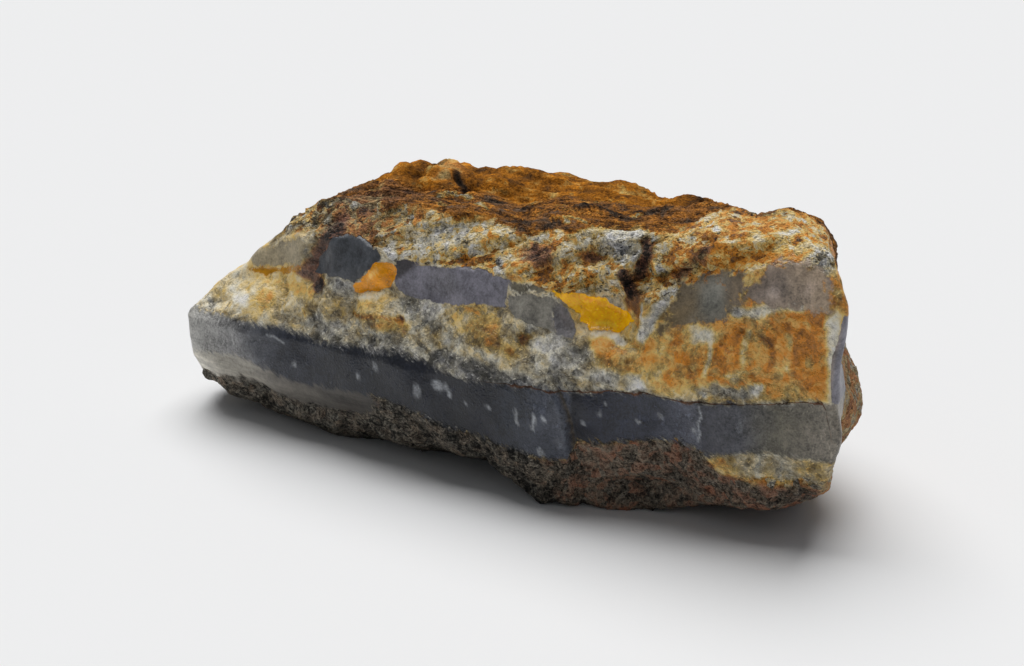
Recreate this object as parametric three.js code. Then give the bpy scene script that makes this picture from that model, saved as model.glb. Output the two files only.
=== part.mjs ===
// Rough chalcedony: one piece broken out of a banded vein, in millimetres, +Z up.
// The broken front faces -Y and shows the layers, the pointed end is at -X, the blunt end at +X,
// and the stone rests on the rubbed patches of its underside, at Z = 0.
//
// The stone is where a depth function is negative. That function is the rounded maximum of six
// sides, each a height field drawn by a few points, with low swells added all over. The surface is
// found along rays that leave a spine inside the stone, in rings from one end to the other.

import * as THREE from 'three';

// Driving dimensions of the whole piece
const STONE_MIDDLE = { x: 0.4, y: 4.55 };   // middle of its box, before it is centred on the origin
const EDGE_ROUNDING = 1.3;                  // how far two sides run into each other
const SWELL_SHARE = 0.5;                    // strength of the low swells all over

// Fineness of the faceted surface
const RING_COUNT = 74;
const RING_POINTS = 64;
const SPINE_START = [-36, 1.5, 8];
const SPINE_END = [26, 2, 15];
const POINTED_CAP = 0.10;                   // share of the rings that close the pointed end
const BLUNT_CAP = 0.24;                     // share of the rings that close the blunt end
const LONGEST_RAY = 70;
const HALVINGS = 30;
const EVENING_PASSES = 2;
const EVENING_SLACK = 0.25;                 // keeps a few points on stretches that are short
const FLOOR_SNAP = 1e-4;

// Heights where the layers come out on the front, as [x, z] points, from the lowest up
const LOWER_BLUE_FLOOR = [
  [-44, 7], [-28, 6.5], [-11, 8], [4, 5.5], [8, 5], [13, 8.5], [20, 9.5], [27, 9.5], [31, 8], [41, 10.5],
];
const LOWER_BLUE_ROOF = [[-44, 11.5], [-31, 12], [-11, 13], [4, 13.5], [12, 14.5], [26, 15.5], [41, 16.5]];
const QUARTZ_ROOF = [
  [-44, 13.5], [-37, 15.5], [-26, 18.5], [-10, 19.5], [4, 21], [12, 20], [20, 21], [27, 23], [33, 25], [41, 26.5],
];
const UPPER_BLUE_ROOF = [
  [-44, 17], [-37, 19.5], [-26, 23], [-18, 24.5], [-12, 23], [4, 24.5], [12, 23.5], [22, 25], [27, 27.5],
  [33, 30.5], [41, 30.5],
];
const CRUST_ROOF = [
  [-44, 20], [-37, 21.8], [-31, 23.3], [-26, 24.8], [-22, 26.5], [-10, 27.5], [4, 28.5], [17, 30.5], [22, 31.5],
  [36, 33.4], [41, 32.2],
];
const LAYERS = [LOWER_BLUE_FLOOR, LOWER_BLUE_ROOF, QUARTZ_ROOF, UPPER_BLUE_ROOF, CRUST_ROOF];
const MATRIX_SKIN = 2.5;                    // depth of the lowest layer's broken edge
const MATRIX_TOP = 4;
const THINNEST_LAYER = 0.3;

// The front, seen from above: how far forward the lower blue band stands, as [x, y] points
const FRONT_PLAN = [[-44, -3], [-38, -4.5], [-20, -8], [4, -12], [9, -12.5], [26, -11], [38, -9.5], [44, -9]];
// How far behind that each layer lies, as [layer, setback] points, and how that fades along x
const LAYER_SETBACK = [[0, 2], [1, 0.5], [1.5, 0], [2, 0], [3, 3.5], [4, 4.5], [5, 8]];
const SETBACK_SHARE = [[-44, 1.3], [-20, 1.1], [14, 1], [24, 0.6], [44, 0.45]];
// The break across the lower blue band, which leans back above its middle; the left block stands
// proud of the right one
const BREAK = { x: 12.3, lean: 0.12, middle: 11, depth: 1.1, width: 0.5, fadeFrom: 6, fadeTo: 20 };
const SECOND_BREAK = { from: 24, to: 25.5, depth: -0.3 };
// Hollows (positive depth) and lumps (negative depth) of the front: x, z, half width, half height, depth
const FRONT_MARKS = [
  [-22.8, 20.8, 2.2, 3.4, 0.8],             // pit at the pointed end
  [-30, 15, 6, 3, -0.6],                    // swell of the quartz
  [-13.5, 17.2, 3.4, 2.3, -1.0],            // knob below the amber lump
  [-18, 16.8, 1.7, 2.6, 1.1],               // crevice beside the knob
  [-14.5, 21.2, 2.4, 2.0, -0.5],            // amber lump
  [14.6, 22.4, 5.4, 3.4, 2.2],              // yellow hollow
  [18.4, 26.6, 1.7, 2.4, 1.4],              // hole above the hollow
  [16.3, 18.6, 3.2, 2.1, -1.1],             // orange knob
  [11.5, 28, 3.2, 1.8, 0.9],                // hollow in the crust
  [34.5, 28.3, 6, 4.2, -0.7],               // arch at the blunt end
  [4, 17, 6, 2.6, -0.5],                    // swell of the quartz
  [30, 19, 5, 3, -0.5],                     // swell of the orange quartz
  [21, 2.4, 7, 3, 1.6],                     // hollow under the band
  [31, 3.4, 4, 3, -0.5],                    // lip beside it
];
// The pale rib that runs up beside the yellow hollow
const RIB = { from: [18.4, 20.6], to: [22, 27], halfWidth: 1, height: 0.9 };
// Ledges of the crust, which climb to the right
const CRUST_LEDGES = { pitch: 3.4, climb: 0.38, depth: 0.9, from: 4, to: 4.3 };

// The back, seen from above, as [x, y] points, and how it leans in at the top and the bottom
const BACK_PLAN = [[-44, 6], [-36, 10], [-24, 16], [-8, 20.5], [10, 21.5], [20, 19.5], [30, 15], [44, 6]];
const BACK_LEAN = { top: 3, topFrom: 20, topTo: 34, foot: 4, footTo: 10 };
const BACK_MARKS = [
  [-14, 15, 13, 9, 1.8],
  [14, 11, 11, 9, 1.5],
  [27, 18, 8, 8, -0.8],
  [-30, 11, 8, 7, -0.6],
  [2, 25, 9, 5, -0.8],
];

// The two ends, as [z, x] points
const POINTED_PROFILE = [
  [0, -41.5], [3, -40.8], [6, -40.2], [9, -40.4], [12, -41], [15, -38], [20, -32.5], [22.5, -29.5], [24.5, -28.3],
  [30.5, -18], [33, -14], [36, -11],
];
const POINTED_CURL = { from: 4, slope: 0.25 };
const BLUNT_PROFILE = [
  [0, 37.5], [2, 41], [6, 41.5], [14, 42], [22, 41.8], [26, 42], [29, 42], [32, 40.8], [34, 36], [36, 34],
];
const BLUNT_SLANT = { from: -9, slope: 0.46 };
const BLUNT_BULGE = { height: 3.6, z: 12, y: 6, radius: 7 };

// The top: the front lip, the valley behind it and the back ridge, as [x, height] points
const LIP_RISE = { from: -6, to: 0, height: 1 };
const VALLEY = { from: 1, to: 7, depth: 1.6 };
const TOP_DIP = { x: 28.5, halfWidth: 2.6, depth: 1.1, from: -6, to: 2 };
const BACK_RIDGE = [
  [-44, -2.5], [-25, 3.6], [-21, 0.9], [-19.3, 1.5], [-17.5, 2.1], [-16, 2], [-14, 1.3], [-11.5, 1.6], [-7, 1.7],
  [-3, 1.2], [3, 0.9], [6, 0.8], [9, 0.2], [12, -0.7], [17, -1.4], [22, -6], [44, -7.5],
];
const RIDGE_RISE = { from: 4, to: 13 };
const RIDGE_FALL = { from: 15, slope: 0.55 };
const TOP_LEDGES = { pitch: 3.6, turn: 0.1, wander: 1, wave: 0.3, height: 0.7, from: -3, to: 1 };
const CRACK = { x: -9.8, y: 8.4, lean: 0.35, halfWidth: 1, halfLength: 2.8, depth: 1.2 };

// The underside, as [x, z] points along its front edge and along its middle; below 0 it is rubbed flat
const UNDER_FRONT = [[-44, 4], [-22, 4], [-11, 3], [1, 3.5], [8, 0], [20, 0], [27, 2.5], [33, 3.5], [38, 6], [44, 7]];
const UNDER_MIDDLE = [[-44, 3], [-30, 0.5], [-22, -0.5], [26, -0.5], [36, 2], [44, 5.5]];
const UNDER_TURN = { from: -9, to: 0 };
const UNDER_MARKS = [
  [-10, 7, 13, 6, 1.6],
  [21, 9, 9, 6, 1.3],
  [3, 15, 8, 4, 0.9],
];

// Low swells all over: amplitude, wave vector and phase
const SWELLS = [
  [0.45, [0.32, 0.21, 0.27], 0.4],
  [0.40, [-0.21, 0.34, 0.30], 2.1],
  [0.35, [0.52, -0.33, 0.40], 1.2],
  [0.28, [0.17, 0.62, -0.55], 4.0],
  [0.22, [0.83, 0.31, 0.66], 0.7],
  [0.20, [-0.71, 0.55, 0.81], 3.3],
];

const { clamp, lerp, smoothstep } = THREE.MathUtils;

// Height of a line through points at a value, level beyond both ends
function along(points, value) {
  if (value <= points[0][0]) return points[0][1];
  for (let i = 1; i < points.length; i += 1) {
    const [a, b] = [points[i - 1], points[i]];
    if (value < b[0]) return lerp(a[1], b[1], (value - a[0]) / (b[0] - a[0]));
  }
  return points[points.length - 1][1];
}

// The larger of two values, rounded where they are close
function roundedMax(a, b) {
  const closeness = Math.max(EDGE_ROUNDING - Math.abs(a - b), 0) / EDGE_ROUNDING;
  return Math.max(a, b) + closeness * closeness * EDGE_ROUNDING / 4;
}

// A round boss of unit height over an ellipse, nothing outside it
function dome(a, b, [middleA, middleB, halfA, halfB]) {
  return Math.max(1 - ((a - middleA) / halfA) ** 2 - ((b - middleB) / halfB) ** 2, 0);
}

function sumOfMarks(a, b, marks) {
  return marks.reduce((sum, mark) => sum + mark[4] * dome(a, b, mark), 0);
}

// A ledge between 0 and 1: a slow rise and then a quick fall, once for each whole number
function ledge(value) {
  const part = value - Math.floor(value);
  return Math.min(part / 0.75, (1 - part) / 0.25);
}

// The layer that a point of the front lies in: 0 at the matrix, 1 to 5 at the layers' heights
function layerAt(x, z) {
  const heights = LAYERS.map((points) => along(points, x));
  heights.unshift(Math.min(heights[0] - MATRIX_SKIN, MATRIX_TOP));
  let layer = 0;
  for (let i = 0; i < LAYERS.length; i += 1) {
    const thickness = Math.max(heights[i + 1] - heights[i], THINNEST_LAYER);
    layer += clamp((z - heights[i]) / thickness, 0, 1);
  }
  return layer;
}

function ribHeight(x, z) {
  const [runX, runZ] = [RIB.to[0] - RIB.from[0], RIB.to[1] - RIB.from[1]];
  const [dx, dz] = [x - RIB.from[0], z - RIB.from[1]];
  const share = clamp((dx * runX + dz * runZ) / (runX ** 2 + runZ ** 2), 0, 1);
  const distance = Math.hypot(dx - share * runX, dz - share * runZ);
  return RIB.height * Math.max(1 - distance / RIB.halfWidth, 0);
}

function frontSide(x, z) {
  const layer = layerAt(x, z);
  const share = layer > 2 ? along(SETBACK_SHARE, x) : 1;
  let y = along(FRONT_PLAN, x) + along(LAYER_SETBACK, layer) * share;
  const inLowerBand = 1 - smoothstep(layer, 2, 2.25);
  const breakX = BREAK.x - BREAK.lean * Math.max(z - BREAK.middle, 0) ** 2;
  const behindBreak = smoothstep(x, breakX - BREAK.width / 2, breakX + BREAK.width);
  const fade = 1 - smoothstep(x, breakX + BREAK.fadeFrom, breakX + BREAK.fadeTo);
  y += BREAK.depth * behindBreak * fade * inLowerBand;
  y += SECOND_BREAK.depth * smoothstep(x, SECOND_BREAK.from, SECOND_BREAK.to) * inLowerBand;
  y += sumOfMarks(x, z, FRONT_MARKS) - ribHeight(x, z);
  const inCrust = smoothstep(layer, CRUST_LEDGES.from, CRUST_LEDGES.to);
  const step = ledge((z - CRUST_LEDGES.climb * x) / CRUST_LEDGES.pitch) - 0.5;
  return y + CRUST_LEDGES.depth * inCrust * step;
}

function backSide(x, z) {
  const lean = BACK_LEAN.top * smoothstep(z, BACK_LEAN.topFrom, BACK_LEAN.topTo);
  const foot = BACK_LEAN.foot * (1 - smoothstep(z, 0, BACK_LEAN.footTo));
  return along(BACK_PLAN, x) - lean - foot - sumOfMarks(x, z, BACK_MARKS);
}

function pointedEnd(y, z) {
  return along(POINTED_PROFILE, z) + POINTED_CURL.slope * Math.max(y - POINTED_CURL.from, 0);
}

function bluntEnd(y, z) {
  const reach = ((z - BLUNT_BULGE.z) ** 2 + (y - BLUNT_BULGE.y) ** 2) / BLUNT_BULGE.radius ** 2;
  const slant = BLUNT_SLANT.slope * (y - BLUNT_SLANT.from);
  return along(BLUNT_PROFILE, z) - slant + BLUNT_BULGE.height * Math.exp(-reach);
}

function topSide(x, y) {
  let z = along(CRUST_ROOF, x) + LIP_RISE.height * smoothstep(y, LIP_RISE.from, LIP_RISE.to);
  z -= VALLEY.depth * smoothstep(y, VALLEY.from, VALLEY.to);
  const dip = Math.exp(-(((x - TOP_DIP.x) / TOP_DIP.halfWidth) ** 2));
  z -= TOP_DIP.depth * dip * smoothstep(y, TOP_DIP.from, TOP_DIP.to);
  z += along(BACK_RIDGE, x) * smoothstep(y, RIDGE_RISE.from, RIDGE_RISE.to);
  z -= RIDGE_FALL.slope * Math.max(y - RIDGE_FALL.from, 0);
  const wander = TOP_LEDGES.wander * Math.sin(TOP_LEDGES.wave * x);
  const step = ledge((y + TOP_LEDGES.turn * x + wander) / TOP_LEDGES.pitch) - 0.5;
  z += TOP_LEDGES.height * step * smoothstep(y, TOP_LEDGES.from, TOP_LEDGES.to);
  const across = (x - CRACK.x - CRACK.lean * (y - CRACK.y)) / CRACK.halfWidth;
  const lengthwise = (y - CRACK.y) / CRACK.halfLength;
  return z - CRACK.depth * Math.max(1 - Math.hypot(across, lengthwise), 0);
}

function underSide(x, y) {
  const inward = smoothstep(y, UNDER_TURN.from, UNDER_TURN.to);
  return lerp(along(UNDER_FRONT, x), along(UNDER_MIDDLE, x), inward) + sumOfMarks(x, y, UNDER_MARKS);
}

function swell(x, y, z) {
  return SWELLS.reduce(
    (sum, [height, [kx, ky, kz], phase]) => sum + height * Math.sin(kx * x + ky * y + kz * z + phase), 0);
}

// Negative inside the stone, positive outside
function depth(x, y, z) {
  const sides = [
    frontSide(x, z) - y,
    y - backSide(x, z),
    z - topSide(x, y),
    underSide(x, y) - z,
    pointedEnd(y, z) - x,
    x - bluntEnd(y, z),
  ];
  return Math.max(sides.reduce(roundedMax) + SWELL_SHARE * swell(x, y, z), -z);
}

// The surface point along a ray: u runs along the stone from 0 to 1, the angle runs round it
function surfacePoint(u, angle) {
  const toPoint = clamp(1 - u / POINTED_CAP, 0, 1);
  const toBlunt = clamp(1 - (1 - u) / BLUNT_CAP, 0, 1);
  const share = clamp((u - POINTED_CAP) / (1 - POINTED_CAP - BLUNT_CAP), 0, 1);
  const origin = new THREE.Vector3(...SPINE_START).lerp(new THREE.Vector3(...SPINE_END), share);
  const tilt = (toBlunt - toPoint) * Math.PI / 2;
  const ray = new THREE.Vector3(
    Math.sin(tilt), Math.cos(tilt) * Math.cos(angle), Math.cos(tilt) * Math.sin(angle));
  let [inside, outside] = [0, LONGEST_RAY];
  for (let i = 0; i < HALVINGS; i += 1) {
    const middle = (inside + outside) / 2;
    const { x, y, z } = ray.clone().multiplyScalar(middle).add(origin);
    if (depth(x, y, z) < 0) inside = middle;
    else outside = middle;
  }
  const point = ray.multiplyScalar((inside + outside) / 2).add(origin);
  if (point.z < FLOOR_SNAP) point.z = 0;
  return point;
}

// Values at even distances along a path, from the path's values and the lengths of its steps
function evenValues(values, lengths, count) {
  const travelled = [0];
  lengths.forEach((length) => travelled.push(travelled[travelled.length - 1] + length));
  const path = travelled.map((distance, i) => [distance, values[i]]);
  const total = travelled[travelled.length - 1];
  return Array.from({ length: count }, (_, i) => along(path, total * i / (values.length - 1)));
}

function meanOf(numbers) {
  return numbers.reduce((sum, number) => sum + number, 0) / numbers.length;
}

// Moves the points of a ring until they stand evenly round it
function evenAngles(ring, angles) {
  const lengths = ring.map((point, i) => point.distanceTo(ring[(i + 1) % ring.length]));
  const slack = EVENING_SLACK * meanOf(lengths);
  if (slack === 0) return angles;
  return evenValues([...angles, angles[0] + 2 * Math.PI], lengths.map((length) => length + slack), ring.length);
}

// Moves the rings until they stand evenly along the stone
function evenRings(rings, us) {
  const lengths = rings.slice(1).map((ring, i) => {
    const steps = ring.map((point, j) => point.distanceTo(rings[i][j]));
    return (Math.max(...steps) + meanOf(steps)) / 2;
  });
  return evenValues(us, lengths, us.length);
}

function stoneRings() {
  let us = Array.from({ length: RING_COUNT }, (_, i) => i / (RING_COUNT - 1));
  let angles = us.map(() => Array.from({ length: RING_POINTS }, (_, j) => 2 * Math.PI * j / RING_POINTS));
  const rings = () => us.map((u, i) => angles[i].map((angle) => surfacePoint(u, angle)));
  for (let pass = 0; pass < EVENING_PASSES; pass += 1) {
    const found = rings();
    angles = found.map((ring, i) => evenAngles(ring, angles[i]));
    us = evenRings(found, us);
  }
  return rings();
}

// A closed surface: rings joined by pairs of triangles, with a fan at each end
function closedSurface(rings) {
  const middleRings = rings.slice(1, -1);
  const points = [rings[0][0], ...middleRings.flat(), rings[rings.length - 1][0]];
  const at = (ring, j) => 1 + ring * RING_POINTS + (j % RING_POINTS);
  const lastRing = middleRings.length - 1;
  const lastPoint = points.length - 1;
  const triangles = [];
  for (let j = 0; j < RING_POINTS; j += 1) {
    triangles.push(0, at(0, j + 1), at(0, j));
    for (let i = 0; i < lastRing; i += 1) {
      triangles.push(at(i, j), at(i, j + 1), at(i + 1, j + 1));
      triangles.push(at(i, j), at(i + 1, j + 1), at(i + 1, j));
    }
    triangles.push(lastPoint, at(lastRing, j), at(lastRing, j + 1));
  }
  const geometry = new THREE.BufferGeometry().setFromPoints(points);
  geometry.setIndex(triangles);
  return geometry;
}

function chalcedonyStone() {
  const geometry = closedSurface(stoneRings());
  geometry.translate(-STONE_MIDDLE.x, -STONE_MIDDLE.y, 0);
  geometry.computeVertexNormals();
  const material = new THREE.MeshStandardMaterial({ color: 0x8a7a68, roughness: 0.7, metalness: 0 });
  const stone = new THREE.Mesh(geometry, material);
  stone.name = 'chalcedony_stone';
  return stone;
}

const roughChalcedony = new THREE.Group();
roughChalcedony.add(chalcedonyStone());

export default roughChalcedony;
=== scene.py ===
"""Rough chalcedony: a broken piece of banded vein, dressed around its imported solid.

The stone is one closed mesh, worked out with numpy in millimetres and written in metres. Its form is
the solid's own form, found on a finer grid, with the grain of each mineral raised on it. Attributes on
the mesh say how far inside each mineral's border a place lies, and one material reads them.
"""

import logging
import math
from collections.abc import Sequence
from dataclasses import dataclass
from enum import Enum
from itertools import product

import bpy
import numpy as np
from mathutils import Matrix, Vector


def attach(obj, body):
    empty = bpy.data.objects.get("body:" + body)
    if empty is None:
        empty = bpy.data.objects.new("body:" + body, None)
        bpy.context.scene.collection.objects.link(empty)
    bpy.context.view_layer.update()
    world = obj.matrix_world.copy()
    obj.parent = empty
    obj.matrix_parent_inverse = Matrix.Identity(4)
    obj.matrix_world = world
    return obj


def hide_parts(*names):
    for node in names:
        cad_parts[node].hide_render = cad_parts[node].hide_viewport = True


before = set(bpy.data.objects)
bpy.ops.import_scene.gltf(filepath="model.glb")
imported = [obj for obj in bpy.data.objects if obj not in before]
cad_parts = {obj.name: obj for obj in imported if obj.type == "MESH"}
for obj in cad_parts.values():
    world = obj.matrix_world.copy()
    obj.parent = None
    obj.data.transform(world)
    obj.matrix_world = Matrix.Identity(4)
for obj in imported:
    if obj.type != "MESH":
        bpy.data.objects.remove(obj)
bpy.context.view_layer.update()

LOG = logging.getLogger("rough_chalcedony")

Array = np.ndarray
Socket = bpy.types.NodeSocket
Curve = tuple[tuple[float, float], ...]

MM = 0.001
STONE_MIDDLE = (0.4, 4.55)  # middle of the stone's box in plan, before it is centred, in mm


def linear_colour(hex_colour: str) -> tuple[float, float, float, float]:
    """Turn an sRGB hex colour into linear light.

    Args:
        hex_colour: a colour such as "#8a7a68".

    Returns:
        Red, green, blue and an alpha of 1, in linear light.
    """
    parts = [int(hex_colour[i:i + 2], 16) / 255 for i in (1, 3, 5)]
    red, green, blue = (p / 12.92 if p <= 0.04045 else ((p + 0.055) / 1.055) ** 2.4 for p in parts)
    return red, green, blue, 1.0


def along(curve: Curve, value: Array) -> Array:
    """Read a line through points at each value, level beyond both ends.

    Args:
        curve: the line's points, in rising order of their first number.
        value: where to read it.

    Returns:
        The line's second number at each value.
    """
    places, heights = zip(*curve)
    return np.interp(value, places, heights)


def smooth_step(value: Array, start: float, end: float) -> Array:
    """Rise from 0 to 1 between start and end, level at both: 3t squared less 2t cubed.

    Args:
        value: what is tested.
        start: where the rise starts.
        end: where it ends.

    Returns:
        The height of the rise at each value.
    """
    share = np.clip((value - start) / (end - start), 0, 1)
    return share * share * (3 - 2 * share)


def ledge(value: Array) -> Array:
    """Rise slowly from 0 to 1 and fall quickly, once for each whole number."""
    part, slow_share = value - np.floor(value), 0.75
    return np.minimum(part / slow_share, (1 - part) / (1 - slow_share))


def distance_to_path(points: Curve, across: Array, up: Array) -> Array:
    """Give the distance to a line through points.

    To each straight stretch it is the distance to the stretch's nearest place; the least counts.

    Args:
        points: the line's points, in mm.
        across: places along the line's first direction.
        up: places along its second direction.

    Returns:
        The distance in mm.
    """
    nearest = np.full(across.shape, np.inf)
    for start, end in zip(points, points[1:]):
        run, rise = end[0] - start[0], end[1] - start[1]
        share = ((across - start[0]) * run + (up - start[1]) * rise) / (run ** 2 + rise ** 2)
        share = np.clip(share, 0, 1)
        distance = np.hypot(across - start[0] - share * run, up - start[1] - share * rise)
        nearest = np.minimum(nearest, distance)
    return nearest


def depth_in_outline(outline: Curve, across: Array, up: Array) -> Array:
    """Give the distance to an outline, positive inside it.

    A place is inside where a line from it to the right crosses the outline an odd number of times.

    Args:
        outline: the outline's points, in mm.
        across: places along its first direction.
        up: places along its second direction.

    Returns:
        The signed distance in mm.
    """
    closed = outline + outline[:1]
    crossings = np.zeros(across.shape, dtype=int)
    for start, end in zip(closed, closed[1:]):
        spans = (start[1] > up) != (end[1] > up)
        rise = end[1] - start[1]
        crossing = start[0] + (up - start[1]) * (end[0] - start[0]) / (rise if rise else 1.0)
        crossings += spans & (across < crossing)
    distance = distance_to_path(closed, across, up)
    return np.where(crossings % 2 == 1, distance, -distance)


@dataclass(frozen=True)
class Rise:
    """A smooth step from 0 to its height, between a start and an end."""

    start: float
    end: float
    height: float = 1.0

    def at(self, value: Array) -> Array:
        """Give the height that the step has reached at each value."""
        return self.height * smooth_step(value, self.start, self.end)


@dataclass(frozen=True)
class Mark:
    """A round hollow or lump on one side of the stone, in mm."""

    across: float
    up: float
    half_width: float
    half_height: float
    depth: float

    def height(self, across: Array, up: Array) -> Array:
        """Give depth times one less the squared distance from the middle, nothing outside."""
        reach = ((across - self.across) / self.half_width) ** 2 + ((up - self.up) / self.half_height) ** 2
        return self.depth * np.maximum(1 - reach, 0)


def sum_of_marks(marks: tuple[Mark, ...], across: Array, up: Array) -> Array:
    """Add up the heights of several marks at each place."""
    return sum(mark.height(across, up) for mark in marks)


class Side(Enum):
    """The six sides of the stone, in the order that its form lists them."""

    FRONT = 0
    BACK = 1
    TOP = 2
    UNDER = 3
    POINTED = 4
    BLUNT = 5


@dataclass(frozen=True)
class StoneForm:
    """The stone's form, in mm: the same lines and marks as its solid.

    The stone is where a depth function is negative. That function is the rounded maximum of six
    height fields, one for each side, with low swells added, and never below the floor.
    """

    edge_rounding: float = 1.3
    swell_share: float = 0.5
    # Heights where the layers come out on the front, along the stone
    lower_blue_floor: Curve = (
        (-44, 7), (-28, 6.5), (-11, 8), (4, 5.5), (8, 5), (13, 8.5), (20, 9.5), (27, 9.5), (31, 8),
        (41, 10.5),
    )
    lower_blue_roof: Curve = (
        (-44, 11.5), (-31, 12), (-11, 13), (4, 13.5), (12, 14.5), (26, 15.5), (41, 16.5),
    )
    quartz_roof: Curve = (
        (-44, 13.5), (-37, 15.5), (-26, 18.5), (-10, 19.5), (4, 21), (12, 20), (20, 21), (27, 23), (33, 25),
        (41, 26.5),
    )
    upper_blue_roof: Curve = (
        (-44, 17), (-37, 19.5), (-26, 23), (-18, 24.5), (-12, 23), (4, 24.5), (12, 23.5), (22, 25),
        (27, 27.5), (33, 30.5), (41, 30.5),
    )
    crust_roof: Curve = (
        (-44, 20), (-37, 21.8), (-31, 23.3), (-26, 24.8), (-22, 26.5), (-10, 27.5), (4, 28.5), (17, 30.5),
        (22, 31.5), (36, 33.4), (41, 32.2),
    )
    # How far forward the lower band stands, and how far behind it each layer lies
    front_plan: Curve = (
        (-44, -3), (-38, -4.5), (-20, -8), (4, -12), (9, -12.5), (26, -11), (38, -9.5), (44, -9),
    )
    # The matrix skin is the lowest layer, and its foot lies no higher than its limit
    skin_thickness: float = 2.5
    skin_highest: float = 4.0
    thinnest_layer: float = 0.3
    layer_setback: Curve = ((0, 2), (1, 0.5), (1.5, 0), (2, 0), (3, 3.5), (4, 4.5), (5, 8))
    setback_share: Curve = ((-44, 1.3), (-20, 1.1), (14, 1), (24, 0.6), (44, 0.45))
    # The lower band's break leans back above its bend, and its step fades to the right
    above_band: Rise = Rise(2, 2.25)
    break_x: float = 12.3
    break_bend: float = 11.0
    break_lean: float = 0.12
    break_step: Rise = Rise(-0.25, 0.5, 1.1)
    break_fading: Rise = Rise(6, 20)
    second_break: Rise = Rise(24, 25.5, -0.3)
    # The crust's ledges climb to the right
    crust_ledges: Rise = Rise(4, 4.3, 0.9)
    crust_climb: float = 0.38
    crust_spacing: float = 3.4
    # The pale rib beside the yellow hollow
    rib_line: Curve = ((18.4, 20.6), (22, 27))
    rib_half_width: float = 1.0
    rib_top: float = 0.9
    front_marks: tuple[Mark, ...] = (
        Mark(-22.8, 20.8, 2.2, 3.4, 0.8),  # pit at the pointed end
        Mark(-30, 15, 6, 3, -0.6),  # swell of the quartz
        Mark(-13.5, 17.2, 3.4, 2.3, -1.0),  # knob below the amber lump
        Mark(-18, 16.8, 1.7, 2.6, 1.1),  # crevice beside the knob
        Mark(-14.5, 21.2, 2.4, 2.0, -0.5),  # amber lump
        Mark(14.6, 22.4, 5.4, 3.4, 2.2),  # yellow hollow
        Mark(18.4, 26.6, 1.7, 2.4, 1.4),  # hole above the hollow
        Mark(16.3, 18.6, 3.2, 2.1, -1.1),  # orange knob
        Mark(11.5, 28, 3.2, 1.8, 0.9),  # hollow in the crust
        Mark(34.5, 28.3, 6, 4.2, -0.7),  # arch at the blunt end
        Mark(4, 17, 6, 2.6, -0.5),  # swell of the quartz
        Mark(30, 19, 5, 3, -0.5),  # swell of the orange quartz
        Mark(21, 2.4, 7, 3, 1.6),  # hollow under the band
        Mark(31, 3.4, 4, 3, -0.5),  # lip beside it
    )
    back_plan: Curve = (
        (-44, 6), (-36, 10), (-24, 16), (-8, 20.5), (10, 21.5), (20, 19.5), (30, 15), (44, 6),
    )
    # The back leans in towards the top and towards the foot
    lean_at_top: Rise = Rise(20, 34, 3)
    out_of_foot: Rise = Rise(0, 10, 4)
    back_marks: tuple[Mark, ...] = (
        Mark(-14, 15, 13, 9, 1.8),
        Mark(14, 11, 11, 9, 1.5),
        Mark(27, 18, 8, 8, -0.8),
        Mark(-30, 11, 8, 7, -0.6),
        Mark(2, 25, 9, 5, -0.8),
    )
    # The pointed end curls in towards the back, and the blunt end slants back and has a round bulge
    pointed_profile: Curve = (
        (0, -41.5), (3, -40.8), (6, -40.2), (9, -40.4), (12, -41), (15, -38), (20, -32.5), (22.5, -29.5),
        (24.5, -28.3), (30.5, -18), (33, -14), (36, -11),
    )
    curl_start: float = 4.0
    curl_slope: float = 0.25
    blunt_profile: Curve = (
        (0, 37.5), (2, 41), (6, 41.5), (14, 42), (22, 41.8), (26, 42), (29, 42), (32, 40.8), (34, 36),
        (36, 34),
    )
    slant_start: float = -9.0
    slant: float = 0.46
    bulge_place: tuple[float, float] = (6, 12)
    bulge_radius: float = 7.0
    bulge_height: float = 3.6
    # The top: the lip, the valley behind it, the dip at the block and the back ridge
    lip: Rise = Rise(-6, 0)
    valley: Rise = Rise(1, 7, -1.6)
    dip: Rise = Rise(-6, 2, -1.1)
    dip_x: float = 28.5
    dip_half_width: float = 2.6
    ridge_share: Rise = Rise(4, 13)
    ridge_crest: float = 15.0
    ridge_fall: float = 0.55
    back_ridge: Curve = (
        (-44, -2.5), (-25, 3.6), (-21, 0.9), (-19.3, 1.5), (-17.5, 2.1), (-16, 2), (-14, 1.3), (-11.5, 1.6),
        (-7, 1.7), (-3, 1.2), (3, 0.9), (6, 0.8), (9, 0.2), (12, -0.7), (17, -1.4), (22, -6), (44, -7.5),
    )
    # Its ledges run along the stone and wave a little, and a crack crosses the ridge
    top_ledges: Rise = Rise(-3, 1, 0.7)
    top_turn: float = 0.1
    top_wave: float = 0.3
    top_spacing: float = 3.6
    crack_place: tuple[float, float] = (-9.8, 8.4)
    crack_lean: float = 0.35
    crack_half_length: float = 2.8
    crack_depth: float = 1.2
    under_inward: Rise = Rise(-9, 0)
    under_front: Curve = (
        (-44, 4), (-22, 4), (-11, 3), (1, 3.5), (8, 0), (20, 0), (27, 2.5), (33, 3.5), (38, 6), (44, 7),
    )
    under_middle: Curve = ((-44, 3), (-30, 0.5), (-22, -0.5), (26, -0.5), (36, 2), (44, 5.5))
    under_marks: tuple[Mark, ...] = (
        Mark(-10, 7, 13, 6, 1.6),
        Mark(21, 9, 9, 6, 1.3),
        Mark(3, 15, 8, 4, 0.9),
    )
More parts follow.
